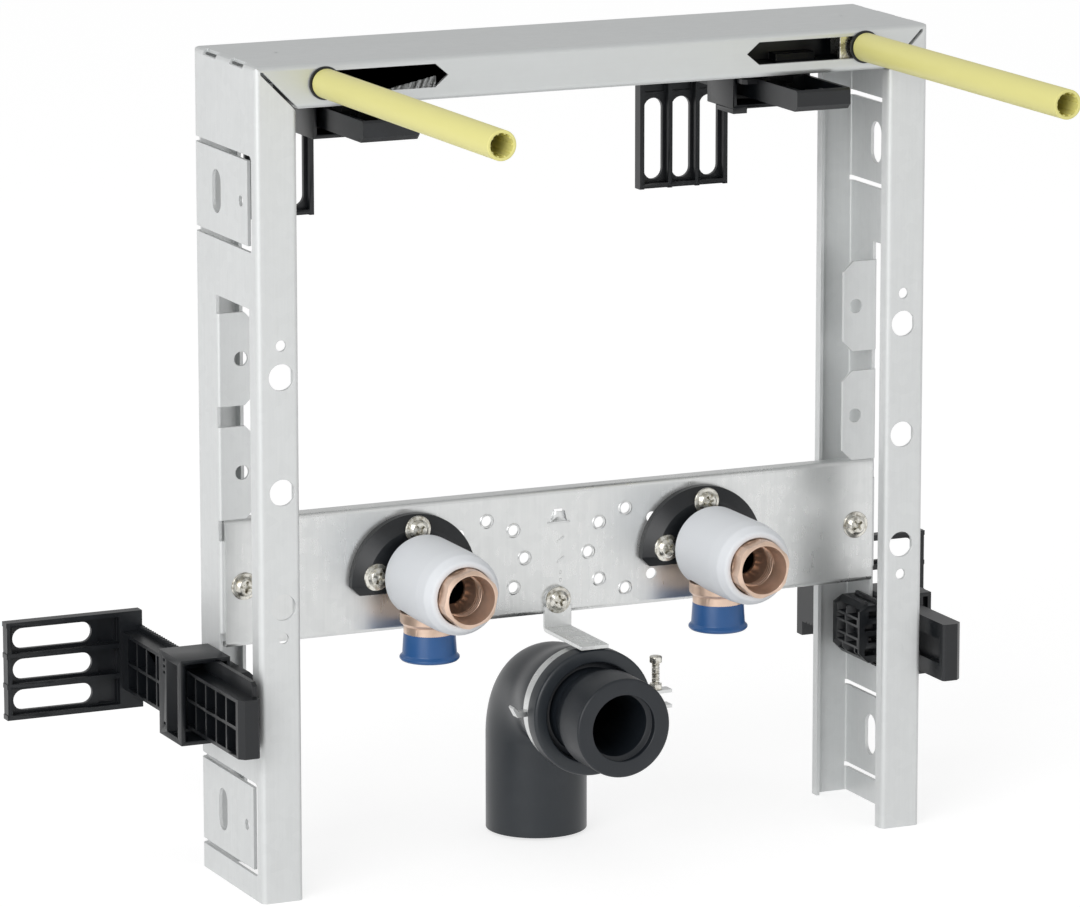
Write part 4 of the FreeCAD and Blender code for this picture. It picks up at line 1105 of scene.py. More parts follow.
@dataclass
class Screws:
    """Every cross-recessed fixing screw on the crossbar."""

    washer_radius: float = 6.7 * MM
    washer_height: float = 1.0 * MM
    head_radius: float = 4.9 * MM
    head_height: float = 3.0 * MM
    shank_radius: float = 2.3 * MM
    recess_reach: float = 2.9 * MM
    recess_width: float = 1.3 * MM
    recess_depth: float = 2.0 * MM
    pit_radius: float = 1.2 * MM
    shank_length: float = 10.0 * MM
    seed: int = 7

    def build(self) -> Iterator[bpy.types.Object]:
        """One piece for each CAD node of screws.

        Returns:
            The pieces in order.
        """
        screw = self.screw()
        groups = {
            name: [middle_of(name)]
            for name in ("crossbar_screw_left", "crossbar_screw_right", "waste_bracket_screw")
        }
        axis = tap_axis()
        for _, word in SIDES:
            low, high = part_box("elbow_screws_" + word)
            groups["elbow_screws_" + word] = [
                Vector((low.x + self.washer_radius, 0, axis)),
                Vector(((low.x + high.x) / 2, 0, high.z - self.washer_radius)),
                Vector((high.x - self.washer_radius, 0, axis)),
            ]
        for number, (node, spots) in enumerate(groups.items()):
            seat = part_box(node)[0].y + self.head_height
            seats = [at_depth(spot, seat) for spot in spots]
            mesh = repeated(node + "_set", screw.copy(), seats, PLATED, math.pi, self.seed + number)
            yield piece(node + "_heads", mesh, PLATED, replaces=[node])

    def screw(self) -> bpy.types.Mesh:
        """One screw that points to the wall, its seat at the origin.

        Returns:
            The mesh.
        """
        profile = rounded([
            (0.0, self.head_height, 0.0),
            (self.head_radius * 0.72, self.head_height, 0.9 * MM),
            (self.head_radius, self.head_height * 0.55, 0.4 * MM),
            (self.head_radius, self.washer_height + 0.1 * MM, 0.1 * MM),
            (self.washer_radius - 0.3 * MM, self.washer_height * 0.8, 0.3 * MM),
            (self.washer_radius, self.washer_height * 0.4, 0.15 * MM),
            (self.washer_radius, 0.0, 0.1 * MM),
            (self.shank_radius, 0.0, 0.0),
            (self.shank_radius, MM - self.shank_length, 0.3 * MM),
            (0.0, -self.shank_length, 0.0),
        ], 4)
        solid = turned(profile, Vector(), ROOMWARD, 44)
        cutters = [self.blade(turn) for turn in (0.0, 90.0)]
        cutters.append(turned([
            (0.0, 0.6 * MM),
            (self.pit_radius, 1.0 * MM),
            (self.pit_radius + 0.3 * MM, 4.0 * MM),
            (0.0, 4.0 * MM),
        ], Vector(), ROOMWARD, 16))
        return shaded(carved(solid, cutters), 30)

    def blade(self, turn: float) -> bpy.types.Mesh:
        """One tapered arm of the driver's cross.

        Args:
            turn: Its angle in degrees.

        Returns:
            The mesh.
        """
        rings = []
        for height, reach, width in (
            (self.head_height - self.recess_depth, 0.5, 0.6),
            (self.head_height + MM, 1.25, 1.1),
        ):
            half, wide = self.recess_reach * reach, self.recess_width * width / 2
            corners = [(-half, -wide), (half, -wide), (half, wide), (-half, wide)]
            rings.append([Vector((x, -height, z)) for x, z in corners])
        mesh = lofted(rings)
        mesh.transform(Matrix.Rotation(math.radians(turn), 4, "Y"))
        return mesh


@dataclass
class TapConnection:
    """One tap elbow with its threaded mouth, sleeve, flange and cap."""

    word: str
    nose_front: float = 3.6 * MM
    nose_flats: float = 13.15 * MM
    nose_corners: float = 14.05 * MM
    nose_turn: float = 18.0
    nose_rear: float = 20.0 * MM
    nose_edge: float = 0.9 * MM
    mouth_radius: float = 11.7 * MM
    mouth_depth: float = 10.0 * MM
    thread_root: float = 10.15 * MM
    thread_pitch: float = 1.814 * MM
    thread_height: float = 0.12 * MM
    bore_depth: float = 19.5 * MM
    bore_end: float = 24.0 * MM
    water_way: float = 7.0 * MM
    collar_radius: float = 14.2 * MM
    collar_low: float = 121.2 * MM
    collar_high: float = 127.8 * MM
    sleeve_bore: float = 14.3 * MM
    sleeve_front: float = 10.9 * MM
    sleeve_rear: float = 62.0 * MM
    sleeve_radius: float = 20.3 * MM
    sleeve_tail: float = 19.6 * MM
    shoulder_drop: float = 3.4 * MM
    shoulder_rear: float = 5.0 * MM
    barrel_start: float = 13.0 * MM
    cap_top_radius: float = 12.3 * MM
    cap_foot_radius: float = 13.2 * MM
    cap_lip_radius: float = 14.5 * MM
    cap_lip_height: float = 2.2 * MM
    cap_top: float = 120.4 * MM
    cap_wall: float = 1.4 * MM

    def build(self) -> Iterator[bpy.types.Object]:
        """Dress the elbow and what sits on it.

        Returns:
            The pieces in order.
        """
        word = self.word
        self.centre = Vector((middle_of("tap_elbow_" + word).x, 0, tap_axis()))
        cap = middle_of("elbow_cap_" + word)
        self.outlet = Vector((cap.x, cap.y, 0))
        yield piece("elbow_body_" + word, self.elbow(), BRASS, replaces=["tap_elbow_" + word])
        yield piece("elbow_thread_" + word, self.thread(), BRASS)
        yield piece("elbow_foam_" + word, self.sleeve(), FOAM, replaces=["elbow_sleeve_" + word])
        flange = softened("elbow_flange_" + word, 1.4 * MM, 3)
        yield piece("elbow_plate_" + word, flange, BLACK, replaces=["elbow_flange_" + word])
        yield piece("cap_shell_" + word, self.cap(), BLUE, replaces=["elbow_cap_" + word])

    def elbow(self) -> bpy.types.Mesh:
        """The CAD elbow with its hexagonal nose, its collar and its bore.

        Returns:
            The mesh.
        """
        body = merged_copy("tap_elbow_" + self.word)
        radius = self.nose_flats / math.cos(math.pi / 6)
        turns = [math.radians(self.nose_turn + 60 * corner) for corner in range(6)]
        hexagon = [
            [self.centre + Vector((radius * math.cos(a), depth, radius * math.sin(a))) for a in turns]
            for depth in (self.nose_front, self.nose_rear)
        ]
        limit = turned([
            (0.0, self.nose_front),
            (self.nose_flats - self.nose_edge, self.nose_front),
            (self.nose_corners, self.nose_front + self.nose_edge),
            (self.nose_corners, self.nose_rear),
            (0.0, self.nose_rear),
        ], self.centre, WALLWARD)
        nose = carved(lofted(hexagon), [limit], Meeting.SHARED)
        collar = turned(rounded([
            (0.0, self.collar_low, 0.0),
            (self.collar_radius - 1.5 * MM, self.collar_low, 0.0),
            (self.collar_radius, self.collar_low + 1.6 * MM, 0.5 * MM),
            (self.collar_radius, self.collar_high, 0.6 * MM),
            (0.0, self.collar_high, 0.0),
        ]), self.outlet, UPWARD)
        front, inset = self.nose_front, 2.0 * MM
        plug_ends = (front + inset, self.bore_end + 3 * inset)
        plug = cylinder(self.nose_flats - inset, *plug_ends, self.centre, WALLWARD, 48)
        body = carved(body, [plug, nose, collar], Meeting.ADDED)
        bore = turned([
            (0.0, front - MM),
            (self.mouth_radius + 0.5 * MM, front - MM),
            (self.mouth_radius, front + 0.5 * MM),
            (self.thread_root, front + self.mouth_depth),
            (self.thread_root, front + self.bore_depth),
            (self.water_way, front + self.bore_end),
            (self.water_way, front + self.bore_end + 2 * self.collar_radius),
            (0.0, front + self.bore_end + 2 * self.collar_radius),
        ], self.centre, WALLWARD, 64)
        return bevelled(carved(body, [bore]), 0.3 * MM, 3, 38)

    def thread(self) -> bpy.types.Mesh:
        """The ridge of the mouth's pipe thread.

        Returns:
            The mesh.
        """
        start = self.nose_front + self.mouth_depth
        length = self.bore_depth - self.mouth_depth - MM
        ridge = thread_ridge(
            "mouth_thread", self.thread_root, self.thread_pitch, length, self.thread_height, BRASS
        )
        return moved(ridge, self.centre + WALLWARD * start, WALLWARD)

    def sleeve(self) -> bpy.types.Mesh:
        """The insulating sleeve, a barrel with a soft front shoulder.

        Returns:
            The mesh.
        """
        front, rear, radius = self.sleeve_front, self.sleeve_rear, self.sleeve_radius
        barrel = turned(rounded([
            (self.sleeve_bore, front, 0.8 * MM),
            (radius - self.shoulder_drop, front, 2.2 * MM),
            (radius - 0.7 * MM, front + self.shoulder_rear, 4.0 * MM),
            (radius, front + self.barrel_start, 9.0 * MM),
            (radius, rear - 1.4 * MM, 1.6 * MM),
            (self.sleeve_tail, rear, 0.8 * MM),
            (self.sleeve_bore, rear, 0.0),
        ], 8), self.centre, WALLWARD, 96)
        ends = (self.collar_high - 30 * MM, self.centre.z)
        opening = cylinder(self.collar_radius + 0.3 * MM, *ends, self.outlet, UPWARD)
        return bevelled(carved(barrel, [opening]), 0.4 * MM, 2, 50)

    def cap(self) -> bpy.types.Mesh:
        """The protective cap, flared to a lip at its foot.

        Returns:
            The mesh.
        """
        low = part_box("elbow_cap_" + self.word)[0].z
        lip = low + self.cap_lip_height
        bore = self.cap_top_radius - self.cap_wall
        return turned(rounded([
            (0.0, low, 0.0),
            (self.cap_lip_radius - 0.8 * MM, low, 0.6 * MM),
            (self.cap_lip_radius, low + 0.9 * MM, 0.5 * MM),
            (self.cap_lip_radius, lip - 0.5 * MM, 0.4 * MM),
            (self.cap_foot_radius, lip + 0.9 * MM, 1.0 * MM),
            (self.cap_top_radius, self.cap_top, 0.5 * MM),
            (bore, self.cap_top, 0.3 * MM),
            (bore, low + self.cap_wall, 0.4 * MM),
            (0.0, low + self.cap_wall, 0.0),
        ]), self.outlet, UPWARD, 80)


@dataclass
class Waste:
    """The waste bend, its seal, clamp and bracket."""

    edge: float = 0.35 * MM
    pipe_radius: float = 25.0 * MM
    pipe_wall: float = 2.2 * MM
    turn_radius: float = 26.0 * MM
    socket_radius: float = 28.0 * MM
    socket_start: float = 54.0 * MM
    bead_radius: float = 31.4 * MM
    bead_rear: float = 9.0 * MM
    bead_edge: float = 1.6 * MM
    mouth_radius: float = 25.0 * MM
    seat_radius: float = 24.4 * MM
    seat_depth: float = 22.0 * MM
    path_steps: int = 28
    throat_steps: int = 8
    bore_swell: float = 0.6
    seal_radius: float = 24.3 * MM
    seal_waist: float = 21.4 * MM
    seal_lip: float = 16.2 * MM
    seal_groove: float = 17.9 * MM
    seal_ledge: float = 15.3 * MM
    seal_taper: float = 13.0 * MM
    seal_neck: float = 5.0 * MM
    ledge_rear: float = 15.0 * MM
    groove_rear: float = 6.6 * MM
    groove_front: float = 1.6 * MM
    bolt_across: float = 39.2 * MM
    bolt_radius: float = 1.7 * MM
    bolt_pitch: float = 0.9 * MM
    bolt_ridge: float = 0.32 * MM
    head_radius: float = 3.1 * MM
    head_height: float = 3.2 * MM
    nut_radius: float = 3.4 * MM
    nut_height: float = 3.0 * MM
    band_inner: float = 28.15 * MM
    band_outer: float = 30.15 * MM
    band_front: float = 42.5 * MM
    band_width: float = 6.6 * MM
    ear_reach: float = 46.6 * MM
    ear_gap: float = 3.0 * MM
    ear_sheet: float = 1.6 * MM
    lug_reach: float = 38.0 * MM
    lug_rise: float = 4.0 * MM
    stud_radius: float = 2.6 * MM
    washer_radius: float = 6.5 * MM
    relief_radius: float = 20.0 * MM
    relief_reach: float = 30.0 * MM

    def build(self) -> Iterator[bpy.types.Object]:
        """Dress every piece of the waste.

        Returns:
            The pieces in order.
        """
        self.axis = middle_of("waste_seal").z
        low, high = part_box("waste_bend")
        self.mouth = low.y
        self.depth = high.y - self.pipe_radius
        self.foot = low.z
        yield piece("bend_body", self.bend(), PIPE, replaces=["waste_bend"])
        yield piece("seal_body", self.seal(), RUBBER, replaces=["waste_seal"])
        yield piece("clamp_strap", self.clamp(), GALVANISED_BAR, replaces=["waste_clamp"])
        yield piece("clamp_bolt", self.bolt(), PLATED, replaces=["waste_clamp_screw"])
        yield piece("bracket_strap", self.bracket(), GALVANISED_BAR, replaces=["waste_bracket"])

    def bracket(self) -> bpy.types.Mesh:
        """The strap, its top end rounded about the screw's washer.

        Returns:
            The mesh.
        """
        screw = middle_of("waste_bracket_screw")
        outer, reach = self.relief_radius, self.relief_reach
        inner = self.washer_radius
        section = [(inner, -outer), (outer, -outer), (outer, outer), (inner, outer)]
        collar = turned(section, screw, WALLWARD)
        above = block(screw + Vector((-reach, -reach, -3 * MM)), screw + Vector((reach,) * 3))
        relief = carved(collar, [above], Meeting.SHARED)
        return softened("waste_bracket", self.edge, cutters=[relief])

    def stations(self) -> list[tuple[Vector, Vector]]:
        """Places along the bend's axis, from its foot to the end of its quarter turn.

        Returns:
            Pairs of a place and the axis's direction there.
        """
        turn, depth = self.turn_radius, self.depth
        level = self.axis - turn
        spots = [(Vector((0, depth, height)), UPWARD) for height in (self.foot, level - MM)]
        for step in range(self.path_steps + 1):
            angle = math.pi / 2 * step / self.path_steps
            middle = Vector((0, depth - turn + turn * math.cos(angle), level + turn * math.sin(angle)))
            spots.append((middle, Vector((0, -math.sin(angle), math.cos(angle)))))
        return spots

    def bend(self) -> bpy.types.Mesh:
        """The bend: pipe, quarter turn, widening throat and beaded socket.

        Returns:
            The mesh.
        """
        front, axis = self.mouth, self.axis
        outer = [(middle, way, self.pipe_radius) for middle, way in self.stations()]
        bore = self.pipe_radius - self.pipe_wall
        inner = [(middle, way, bore) for middle, way in self.stations()]
        start = self.depth - self.turn_radius
        widened = self.socket_radius - self.pipe_radius
        for step in range(1, self.throat_steps + 1):
            share = step / self.throat_steps
            middle = Vector((0, start + (self.socket_start - start) * share, axis))
            swell = widened * share * share * (3 - 2 * share)
            outer.append((middle, ROOMWARD, self.pipe_radius + swell))
            inner.append((middle, ROOMWARD, bore + swell * self.bore_swell))
        rim = rounded([
            (front + self.bead_rear + 2 * MM, self.socket_radius, 0.8 * MM),
            (front + self.bead_rear, self.bead_radius, 1.4 * MM),
            (front, self.bead_radius, self.bead_edge),
            (front, self.mouth_radius, 0.8 * MM),
            (front + 1.5 * MM, self.seat_radius, 0.0),
            (front + self.seat_depth, self.seat_radius, 0.0),
            (front + self.seat_depth, bore + 0.6 * MM, 0.0),
        ])
        outer += [(Vector((0, depth, axis)), ROOMWARD, radius) for depth, radius in rim]
        rings = [self.ring(*station) for station in outer + inner[::-1]]
        return shaded(lofted(rings, looped=True), 38)

    def ring(self, middle: Vector, way: Vector, radius: float, steps: int = 72) -> list[Vector]:
        """Points round a section of the bend.

        Args:
            middle: Its centre.
            way: Direction of the axis there.
            radius: Its radius.
            steps: Points round it.

        Returns:
            The points.
        """
        other = way.cross(RIGHTWARD)
        turns = [2 * math.pi * step / steps for step in range(steps)]
        return [middle + (RIGHTWARD * math.cos(a) + other * math.sin(a)) * radius for a in turns]

    def seal(self) -> bpy.types.Mesh:
        """The rubber seal: full lip, waist at the socket and a grooved mouth.

        Returns:
            The mesh.
        """
        low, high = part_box("waste_seal")
        centre = Vector((0, low.y, self.axis))
        length = high.y - low.y
        waist = self.mouth - low.y
        return turned(rounded([
            (self.seal_lip, 0.0, 0.7 * MM),
            (self.seal_radius, 0.0, 1.3 * MM),
            (self.seal_radius, waist - self.seal_taper, 6.0 * MM),
            (self.seal_waist, waist - 2 * MM, 2.0 * MM),
            (self.seal_waist, waist + self.seal_neck, 0.4 * MM),
            (self.seat_radius - 0.1 * MM, waist + self.seal_neck + MM, 0.4 * MM),
            (self.seat_radius - 0.1 * MM, length, 0.4 * MM),
            (self.seal_ledge - 1.2 * MM, length, 0.4 * MM),
            (self.seal_ledge - 0.9 * MM, self.ledge_rear, 0.0),
            (self.seal_ledge, self.groove_rear + MM, 0.5 * MM),
            (self.seal_groove, self.groove_rear, 0.4 * MM),
            (self.seal_groove, self.groove_front, 0.3 * MM),
            (self.seal_lip, 1.3 * MM, 0.3 * MM),
        ], 6), centre, WALLWARD, 96)

    def clamp(self) -> bpy.types.Mesh:
        """The pipe clamp: band, two ears, a turned-up lug and the stud under the strap.

        Returns:
            The mesh.
        """
        front, rear = self.band_front, self.band_front + self.band_width
        axis = self.axis
        band = turned(rounded([
            (self.band_inner, front, 0.2 * MM),
            (self.band_outer, front, 0.5 * MM),
            (self.band_outer, rear, 0.5 * MM),
            (self.band_inner, rear, 0.2 * MM),
        ], 4), Vector((0, 0, axis)), WALLWARD, 96)
        start = self.band_outer - 0.8 * MM
        parts = []
        for side in (-1, 1):
            inner = axis + side * self.ear_gap
            outer = inner + side * self.ear_sheet
            low, high = min(inner, outer), max(inner, outer)
            parts.append(block((start, front, low), (self.ear_reach, rear, high)))
        lug = lofted([
            [
                Vector((-start, depth, axis + 1.2 * MM)),
                Vector((-start, depth, axis - 1.2 * MM)),
                Vector((-self.lug_reach + 2.4 * MM, depth, axis - 1.4 * MM)),
                Vector((-self.lug_reach, depth, axis + self.lug_rise - 0.8 * MM)),
                Vector((-self.lug_reach + 0.6 * MM, depth, axis + self.lug_rise)),
                Vector((-self.lug_reach + 3.4 * MM, depth, axis + 1.0 * MM)),
            ]
            for depth in (front + 0.6 * MM, rear - 0.6 * MM)
        ])
        ends = (axis + self.band_inner + 0.6 * MM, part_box("waste_clamp")[1].z)
        foot = Vector((0, (front + rear) / 2, 0))
        stud = cylinder(self.stud_radius, *ends, foot, UPWARD, 32)
        return bevelled(carved(band, parts + [lug, stud], Meeting.ADDED), 0.3 * MM, 2, 40)

    def bolt(self) -> bpy.types.Mesh:
        """The clamp's long screw with its thread and two nuts.

        Returns:
            The mesh.
        """
        low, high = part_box("waste_clamp_screw")
        foot = Vector((self.bolt_across, self.band_front + self.band_width / 2, low.z))
        length = high.z - low.z
        axis = self.axis - low.z
        root = self.bolt_radius
        shaft = turned(rounded([
            (0.0, 0.0, 0.0),
            (root, 0.0, 0.3 * MM),
            (root, length - self.head_height, 0.0),
            (self.head_radius, length - self.head_height, 0.3 * MM),
            (self.head_radius, length, 0.6 * MM),
            (0.0, length, 0.0),
        ], 4), foot, UPWARD, 32)
        nuts = []
        edge, corner = self.ear_gap + self.ear_sheet, 0.4 * MM
        for start in (axis - edge - self.nut_height, axis + edge):
            end = start + self.nut_height
            nuts.append(turned(rounded([
                (root * 0.9, start, 0.0), (self.nut_radius, start, corner),
                (self.nut_radius, end, corner), (root * 0.9, end, 0.0),
            ], 3), foot, UPWARD, 6))
        threaded = length - self.head_height - 0.6 * MM
        ridge = thread_ridge("bolt_thread", root, self.bolt_pitch, threaded, self.bolt_ridge, PLATED)
        moved(ridge, foot + UPWARD * 0.4 * MM, UPWARD)
        return joined([shaft, ridge, *nuts])


@dataclass
class BasinStud:
    """One basin stud with its tube, slide plate and guide."""

    word: str
    rod_root: float = 4.35 * MM
    rod_pitch: float = 1.5 * MM
    rod_ridge: float = 0.62 * MM
    rod_inset: float = 34.0 * MM
    thread_rear: float = 42.0 * MM
    tube_radius: float = 6.95 * MM
    tube_bore: float = 5.5 * MM
    tube_chamfer: float = 0.9 * MM
    tube_gap: float = 0.9 * MM
    # Radius of the black ring that stands in for the shadow at the tube's foot
    ring_radius: float = 7.9 * MM
    rib_count: int = 10
    rib_height: float = 0.6 * MM
    rib_width: float = 0.9 * MM
    rib_rear: float = 26.0 * MM
    guide_wall: float = 1.6 * MM
    guide_depth: float = 26.0 * MM
    guide_roof: float = 398.3 * MM
    step_left: float = 12.0 * MM
    step_right: float = 9.0 * MM
    step_depth: float = 9.0 * MM
    step_height: float = 5.0 * MM

    def build(self) -> Iterator[bpy.types.Object]:
        """Dress the stud's group; all but the guide ride on the stud's slide.

        Returns:
            The pieces in order.
        """
        word, body = self.word, "stud_" + self.word
        yield piece("stud_rod_" + word, self.rod(), PLATED, body, ["basin_stud_" + word])
        yield piece("tube_shell_" + word, self.tube(), YELLOW, body, ["stud_tube_" + word])
        slide = softened("stud_slide_" + word, 0.3 * MM)
        yield piece("slide_plate_" + word, slide, PLATED, body, ["stud_slide_" + word])
        # A black ring that stands in for the shadow in the gap at the tube's foot
        yield piece("tube_ring_" + word, self.ring(), BLACK, body)
        yield piece("guide_body_" + word, self.guide(), BLACK, replaces=["rail_guide_" + word])

    def rod(self) -> bpy.types.Mesh:
        """The threaded rod, its front end deep inside the tube.

        Returns:
            The mesh.
        """
        low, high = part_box("basin_stud_" + self.word)
        rear = at_depth(middle_of("basin_stud_" + self.word), high.y)
        length = high.y - low.y - self.rod_inset
        core = turned(rounded([
            (0.0, 0.0, 0.0),
            (self.rod_root - 0.2 * MM, 0.0, 0.3 * MM),
            (self.rod_root, length, 0.3 * MM),
            (0.0, length, 0.0),
        ], 3), rear, ROOMWARD, 40)
        sizes = (self.rod_root, self.rod_pitch, self.thread_rear, self.rod_ridge)
        ridge = thread_ridge("rod_thread", *sizes, PLATED)
        moved(ridge, rear + ROOMWARD * 1.0 * MM, ROOMWARD)
        return joined([core, ridge])

    def tube(self) -> bpy.types.Mesh:
        """The protective tube, ribbed inside at its open end.

        Returns:
            The mesh.
        """
        low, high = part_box("stud_tube_" + self.word)
        mouth = at_depth(middle_of("stud_tube_" + self.word), low.y)
        length = high.y - low.y - self.tube_gap
        shell = turned(rounded([
            (self.tube_bore, 0.0, 0.3 * MM),
            (self.tube_radius, 0.0, 0.45 * MM),
            (self.tube_radius, length - self.tube_chamfer, 0.3 * MM),
            (self.tube_radius - self.tube_chamfer, length, 0.2 * MM),
            (self.tube_bore, length, 0.0),
        ], 4), mouth, WALLWARD, 64)
        ribs = []
        for rib in range(self.rib_count):
            made = block(
                (self.tube_bore - self.rib_height, 0.8 * MM, -self.rib_width / 2),
                (self.tube_bore + 0.3 * MM, self.rib_rear, self.rib_width / 2),
            )
            made.transform(Matrix.Rotation(2 * math.pi * rib / self.rib_count, 4, "Y"))
            made.transform(Matrix.Translation(mouth))
            ribs.append(made)
        return joined([shell, *ribs])

    def ring(self) -> bpy.types.Mesh:
        """A thin black ring in the gap between the tube and the rail, standing in for the gap's shadow.

        Returns:
            The mesh.
        """
        node = "stud_tube_" + self.word
        foot = at_depth(middle_of(node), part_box(node)[1].y)
        return turned(rounded([
            (self.tube_bore, 0.0, 0.0),
            (self.ring_radius, 0.0, 0.2 * MM),
            (self.ring_radius, self.tube_gap, 0.2 * MM),
            (self.tube_bore, self.tube_gap, 0.0),
        ], 3), foot, ROOMWARD, 64)

    def guide(self) -> bpy.types.Mesh:
        """The guide behind the slot: a roofed trough with a step at its rear.

        Returns:
            The mesh.
        """
        low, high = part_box("rail_guide_" + self.word)
        wall = self.guide_wall
        rear = low.y + self.guide_depth
        body = block((low.x, low.y, low.z), (high.x, rear, self.guide_roof))
        room = block(
            (low.x + wall, low.y - MM, low.z + wall),
            (high.x - wall, rear - wall, high.z + 0.1 * MM),
        )
        middle = (low.x + high.x) / 2
        step = block(
            (middle - self.step_left, rear - self.step_depth, low.z + wall / 2),
            (middle + self.step_right, rear - wall / 2, low.z + self.step_height),
        )
        return bevelled(carved(carved(body, [room]), [step], Meeting.ADDED), 0.25 * MM)


@dataclass
class Anchor:
    """One moulded wall anchor and the holder that guides it.

    Its sizes are in its own axes: X away from the sheet it slides on, Y from the room to the
    wall and Z across the arm, the toothed flange at low Z.
    """

    place: str
    near: float = 5.6 * MM
    far: float = 15.9 * MM
    half: float = 14.25 * MM
    front: float = -13.0 * MM
    plate: float = 141.0 * MM
    rear: float = 147.0 * MM
    plate_half: float = 24.3 * MM
    plate_end: float = 75.6 * MM
    plate_floor: float = 2.2 * MM
    deep_floor: float = 1.2 * MM
    rim: float = 2.4 * MM
    rib_end: float = 0.35 * MM
    slot_length: float = 41.0 * MM
    slot_width: float = 10.2 * MM
    slot_pitch: float = 15.1 * MM
    slot_end: float = 4.0 * MM
    wall: float = 1.7 * MM
    cell_pitch: float = 13.0 * MM
    cell_start: float = 5.4 * MM
    cell_depth: float = 5.9 * MM
    cell_walls: int = 12
    upper_first_cell: int = 4
    plate_split: float = 25.0 * MM
    slot_facets: int = 12
    hollow_depth: float = 8.2 * MM
    hollow_end: float = 32.0 * MM
    hollow_wall: float = 2.2 * MM
    hollow_web: float = 1.6 * MM
    channel_half: float = 6.2 * MM
    channel_depth: float = 3.4 * MM
    flange_high: float = 21.6 * MM
    flange_low: float = 17.0 * MM
    flange_sheet: float = 2.3 * MM
    flange_step: float = 66.0 * MM
    tooth_pitch: float = 3.0 * MM
    tooth_depth: float = 0.9 * MM
    corner: float = 2.6 * MM
    edge: float = 0.45 * MM
    holder_front: float = 38.0 * MM
    holder_rear: float = 67.0 * MM
    holder_depth: float = 25.5 * MM
    trimmed_depth: float = 21.0 * MM
    rack_side: float = 23.2 * MM
    plain_side: float = 18.3 * MM
    holder_wall: float = 2.0 * MM
    mouth_depth: float = 17.0 * MM
    clip_reach: float = 14.5 * MM
    clip_half: float = 14.6 * MM
    clip_slope: float = 5.0 * MM
    clip_margin: float = 2.6 * MM
    clip_rib: float = 1.3 * MM
    clip_rear: float = 1.6 * MM
    # Height and depth of each row of pockets, then the feet of the front slots, in millimetres
    clip_rows: tuple[tuple[float, float], ...] = (
        (4.4, 6.4), (3.2, 9.0), (5.2, 3.6), (2.6, 8.0), (4.2, 5.0),
    )
    clip_slots: tuple[float, ...] = (-11.0, -4.5, 1.5, 8.0)
    fit_gap: float = 0.4 * MM
    nick_depth: float = 0.8 * MM
    nick_length: float = 2.6 * MM
    nick_width: float = 1.3 * MM
    nick_rear: float = 8.2 * MM
    nick_rises: tuple[float, ...] = (3.4 * MM, 6.4 * MM, 9.4 * MM)
    nick_drop: float = 7.0 * MM
    window_depth: float = 7.0 * MM
    window_front: float = 5.0 * MM
    window_rear: float = 10.0 * MM
    window_low: float = 3.2 * MM
    window_high: float = 3.0 * MM
    nub_reach: float = 2.3 * MM
    nub_depth: float = 19.0 * MM
    nub_height: float = 7.5 * MM

    def build(self) -> Iterator[bpy.types.Object]:
        """Dress the arm and the holder.

        Returns:
            The pieces in order.
        """
        place = self.place
        self.upper = place.startswith("upper")
        self.mirrored = place == "upper_left"
        body, arm = "anchor_" + place, "wall_anchor_" + place
        yield piece("anchor_arm_" + place, self.arm(), BLACK, body, [arm])
        yield piece("holder_body_" + place, self.holder(), BLACK, replaces=["anchor_holder_" + place])

    def set_in(self, mesh: bpy.types.Mesh) -> bpy.types.Mesh:
        """Turn a mesh from the anchor's own axes into the frame's.

        Args:
            mesh: The mesh.

        Returns:
            The same mesh, in place.
        """
        low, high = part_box("wall_anchor_" + self.place)
        depth = low.y - self.front
        if self.upper:
            across = (low.x + high.x) / 2
            origin = Vector((across, depth, high.z + self.near))
            turn = 90.0
        else:
            side = -1 if self.place.endswith("left") else 1
            inner = min(abs(low.x), abs(high.x)) - self.near
            origin = Vector((side * inner, depth, (low.z + high.z) / 2))
            turn = 180.0 if side < 0 else 0.0
        if self.mirrored:
            mesh.transform(Matrix.Scale(-1, 4, UPWARD))
            mesh.flip_normals()
        mesh.transform(Matrix.Rotation(math.radians(turn), 4, "Y"))
        mesh.transform(Matrix.Translation(origin))
        return mesh

    def pits(self, boxes: Sequence[tuple[Sequence[float], Sequence[float]]]) -> bpy.types.Mesh:
        """Many separate blocks as one cutter."""
        return joined([block(low, high) for low, high in boxes])

    def arm(self) -> bpy.types.Mesh:
        """The cellular arm with its flange and the slotted plate.

        Returns:
            The mesh.
        """
        near, far, half, front, rear = self.near, self.far, self.half, self.front, self.rear
        cut = self.corner
        outline = [
            (far, rear), (near, rear), (near, front + cut * 0.4), (near + cut * 0.4, front),
            (far - cut, front), (far, front + cut),
        ]
        body = lofted([[Vector((x, y, z)) for x, y in outline] for z in (-half, half)])
        plate = block((near, self.plate, -self.plate_half), (self.plate_end, rear, self.plate_half))
        outermost = self.plate_half - self.rim / 2
        rows = [-outermost, -self.slot_pitch / 2, self.slot_pitch / 2, outermost]
        end = self.plate_end
        bumps = self.pits([
            ((end - MM, self.plate, row - self.rim / 2), (end + self.rib_end, rear, row + self.rim / 2))
            for row in rows
        ])
        body = carved(body, [plate, self.flange(), bumps], Meeting.ADDED)
        start = front + self.cell_start - self.wall / 2
        walls = [start + number * self.cell_pitch for number in range(self.cell_walls)]
        solid = parted(carved(body, self.hollows(rows)), WALLWARD, walls)
        solid = parted(solid, UPWARD, [0.0, *rows[1:3]])
        splits = [self.far + 2 * self.wall, self.plate_end - self.plate_split]
        solid = parted(solid, RIGHTWARD, splits)
        return self.set_in(bevelled(solid, self.edge, 2, 40))

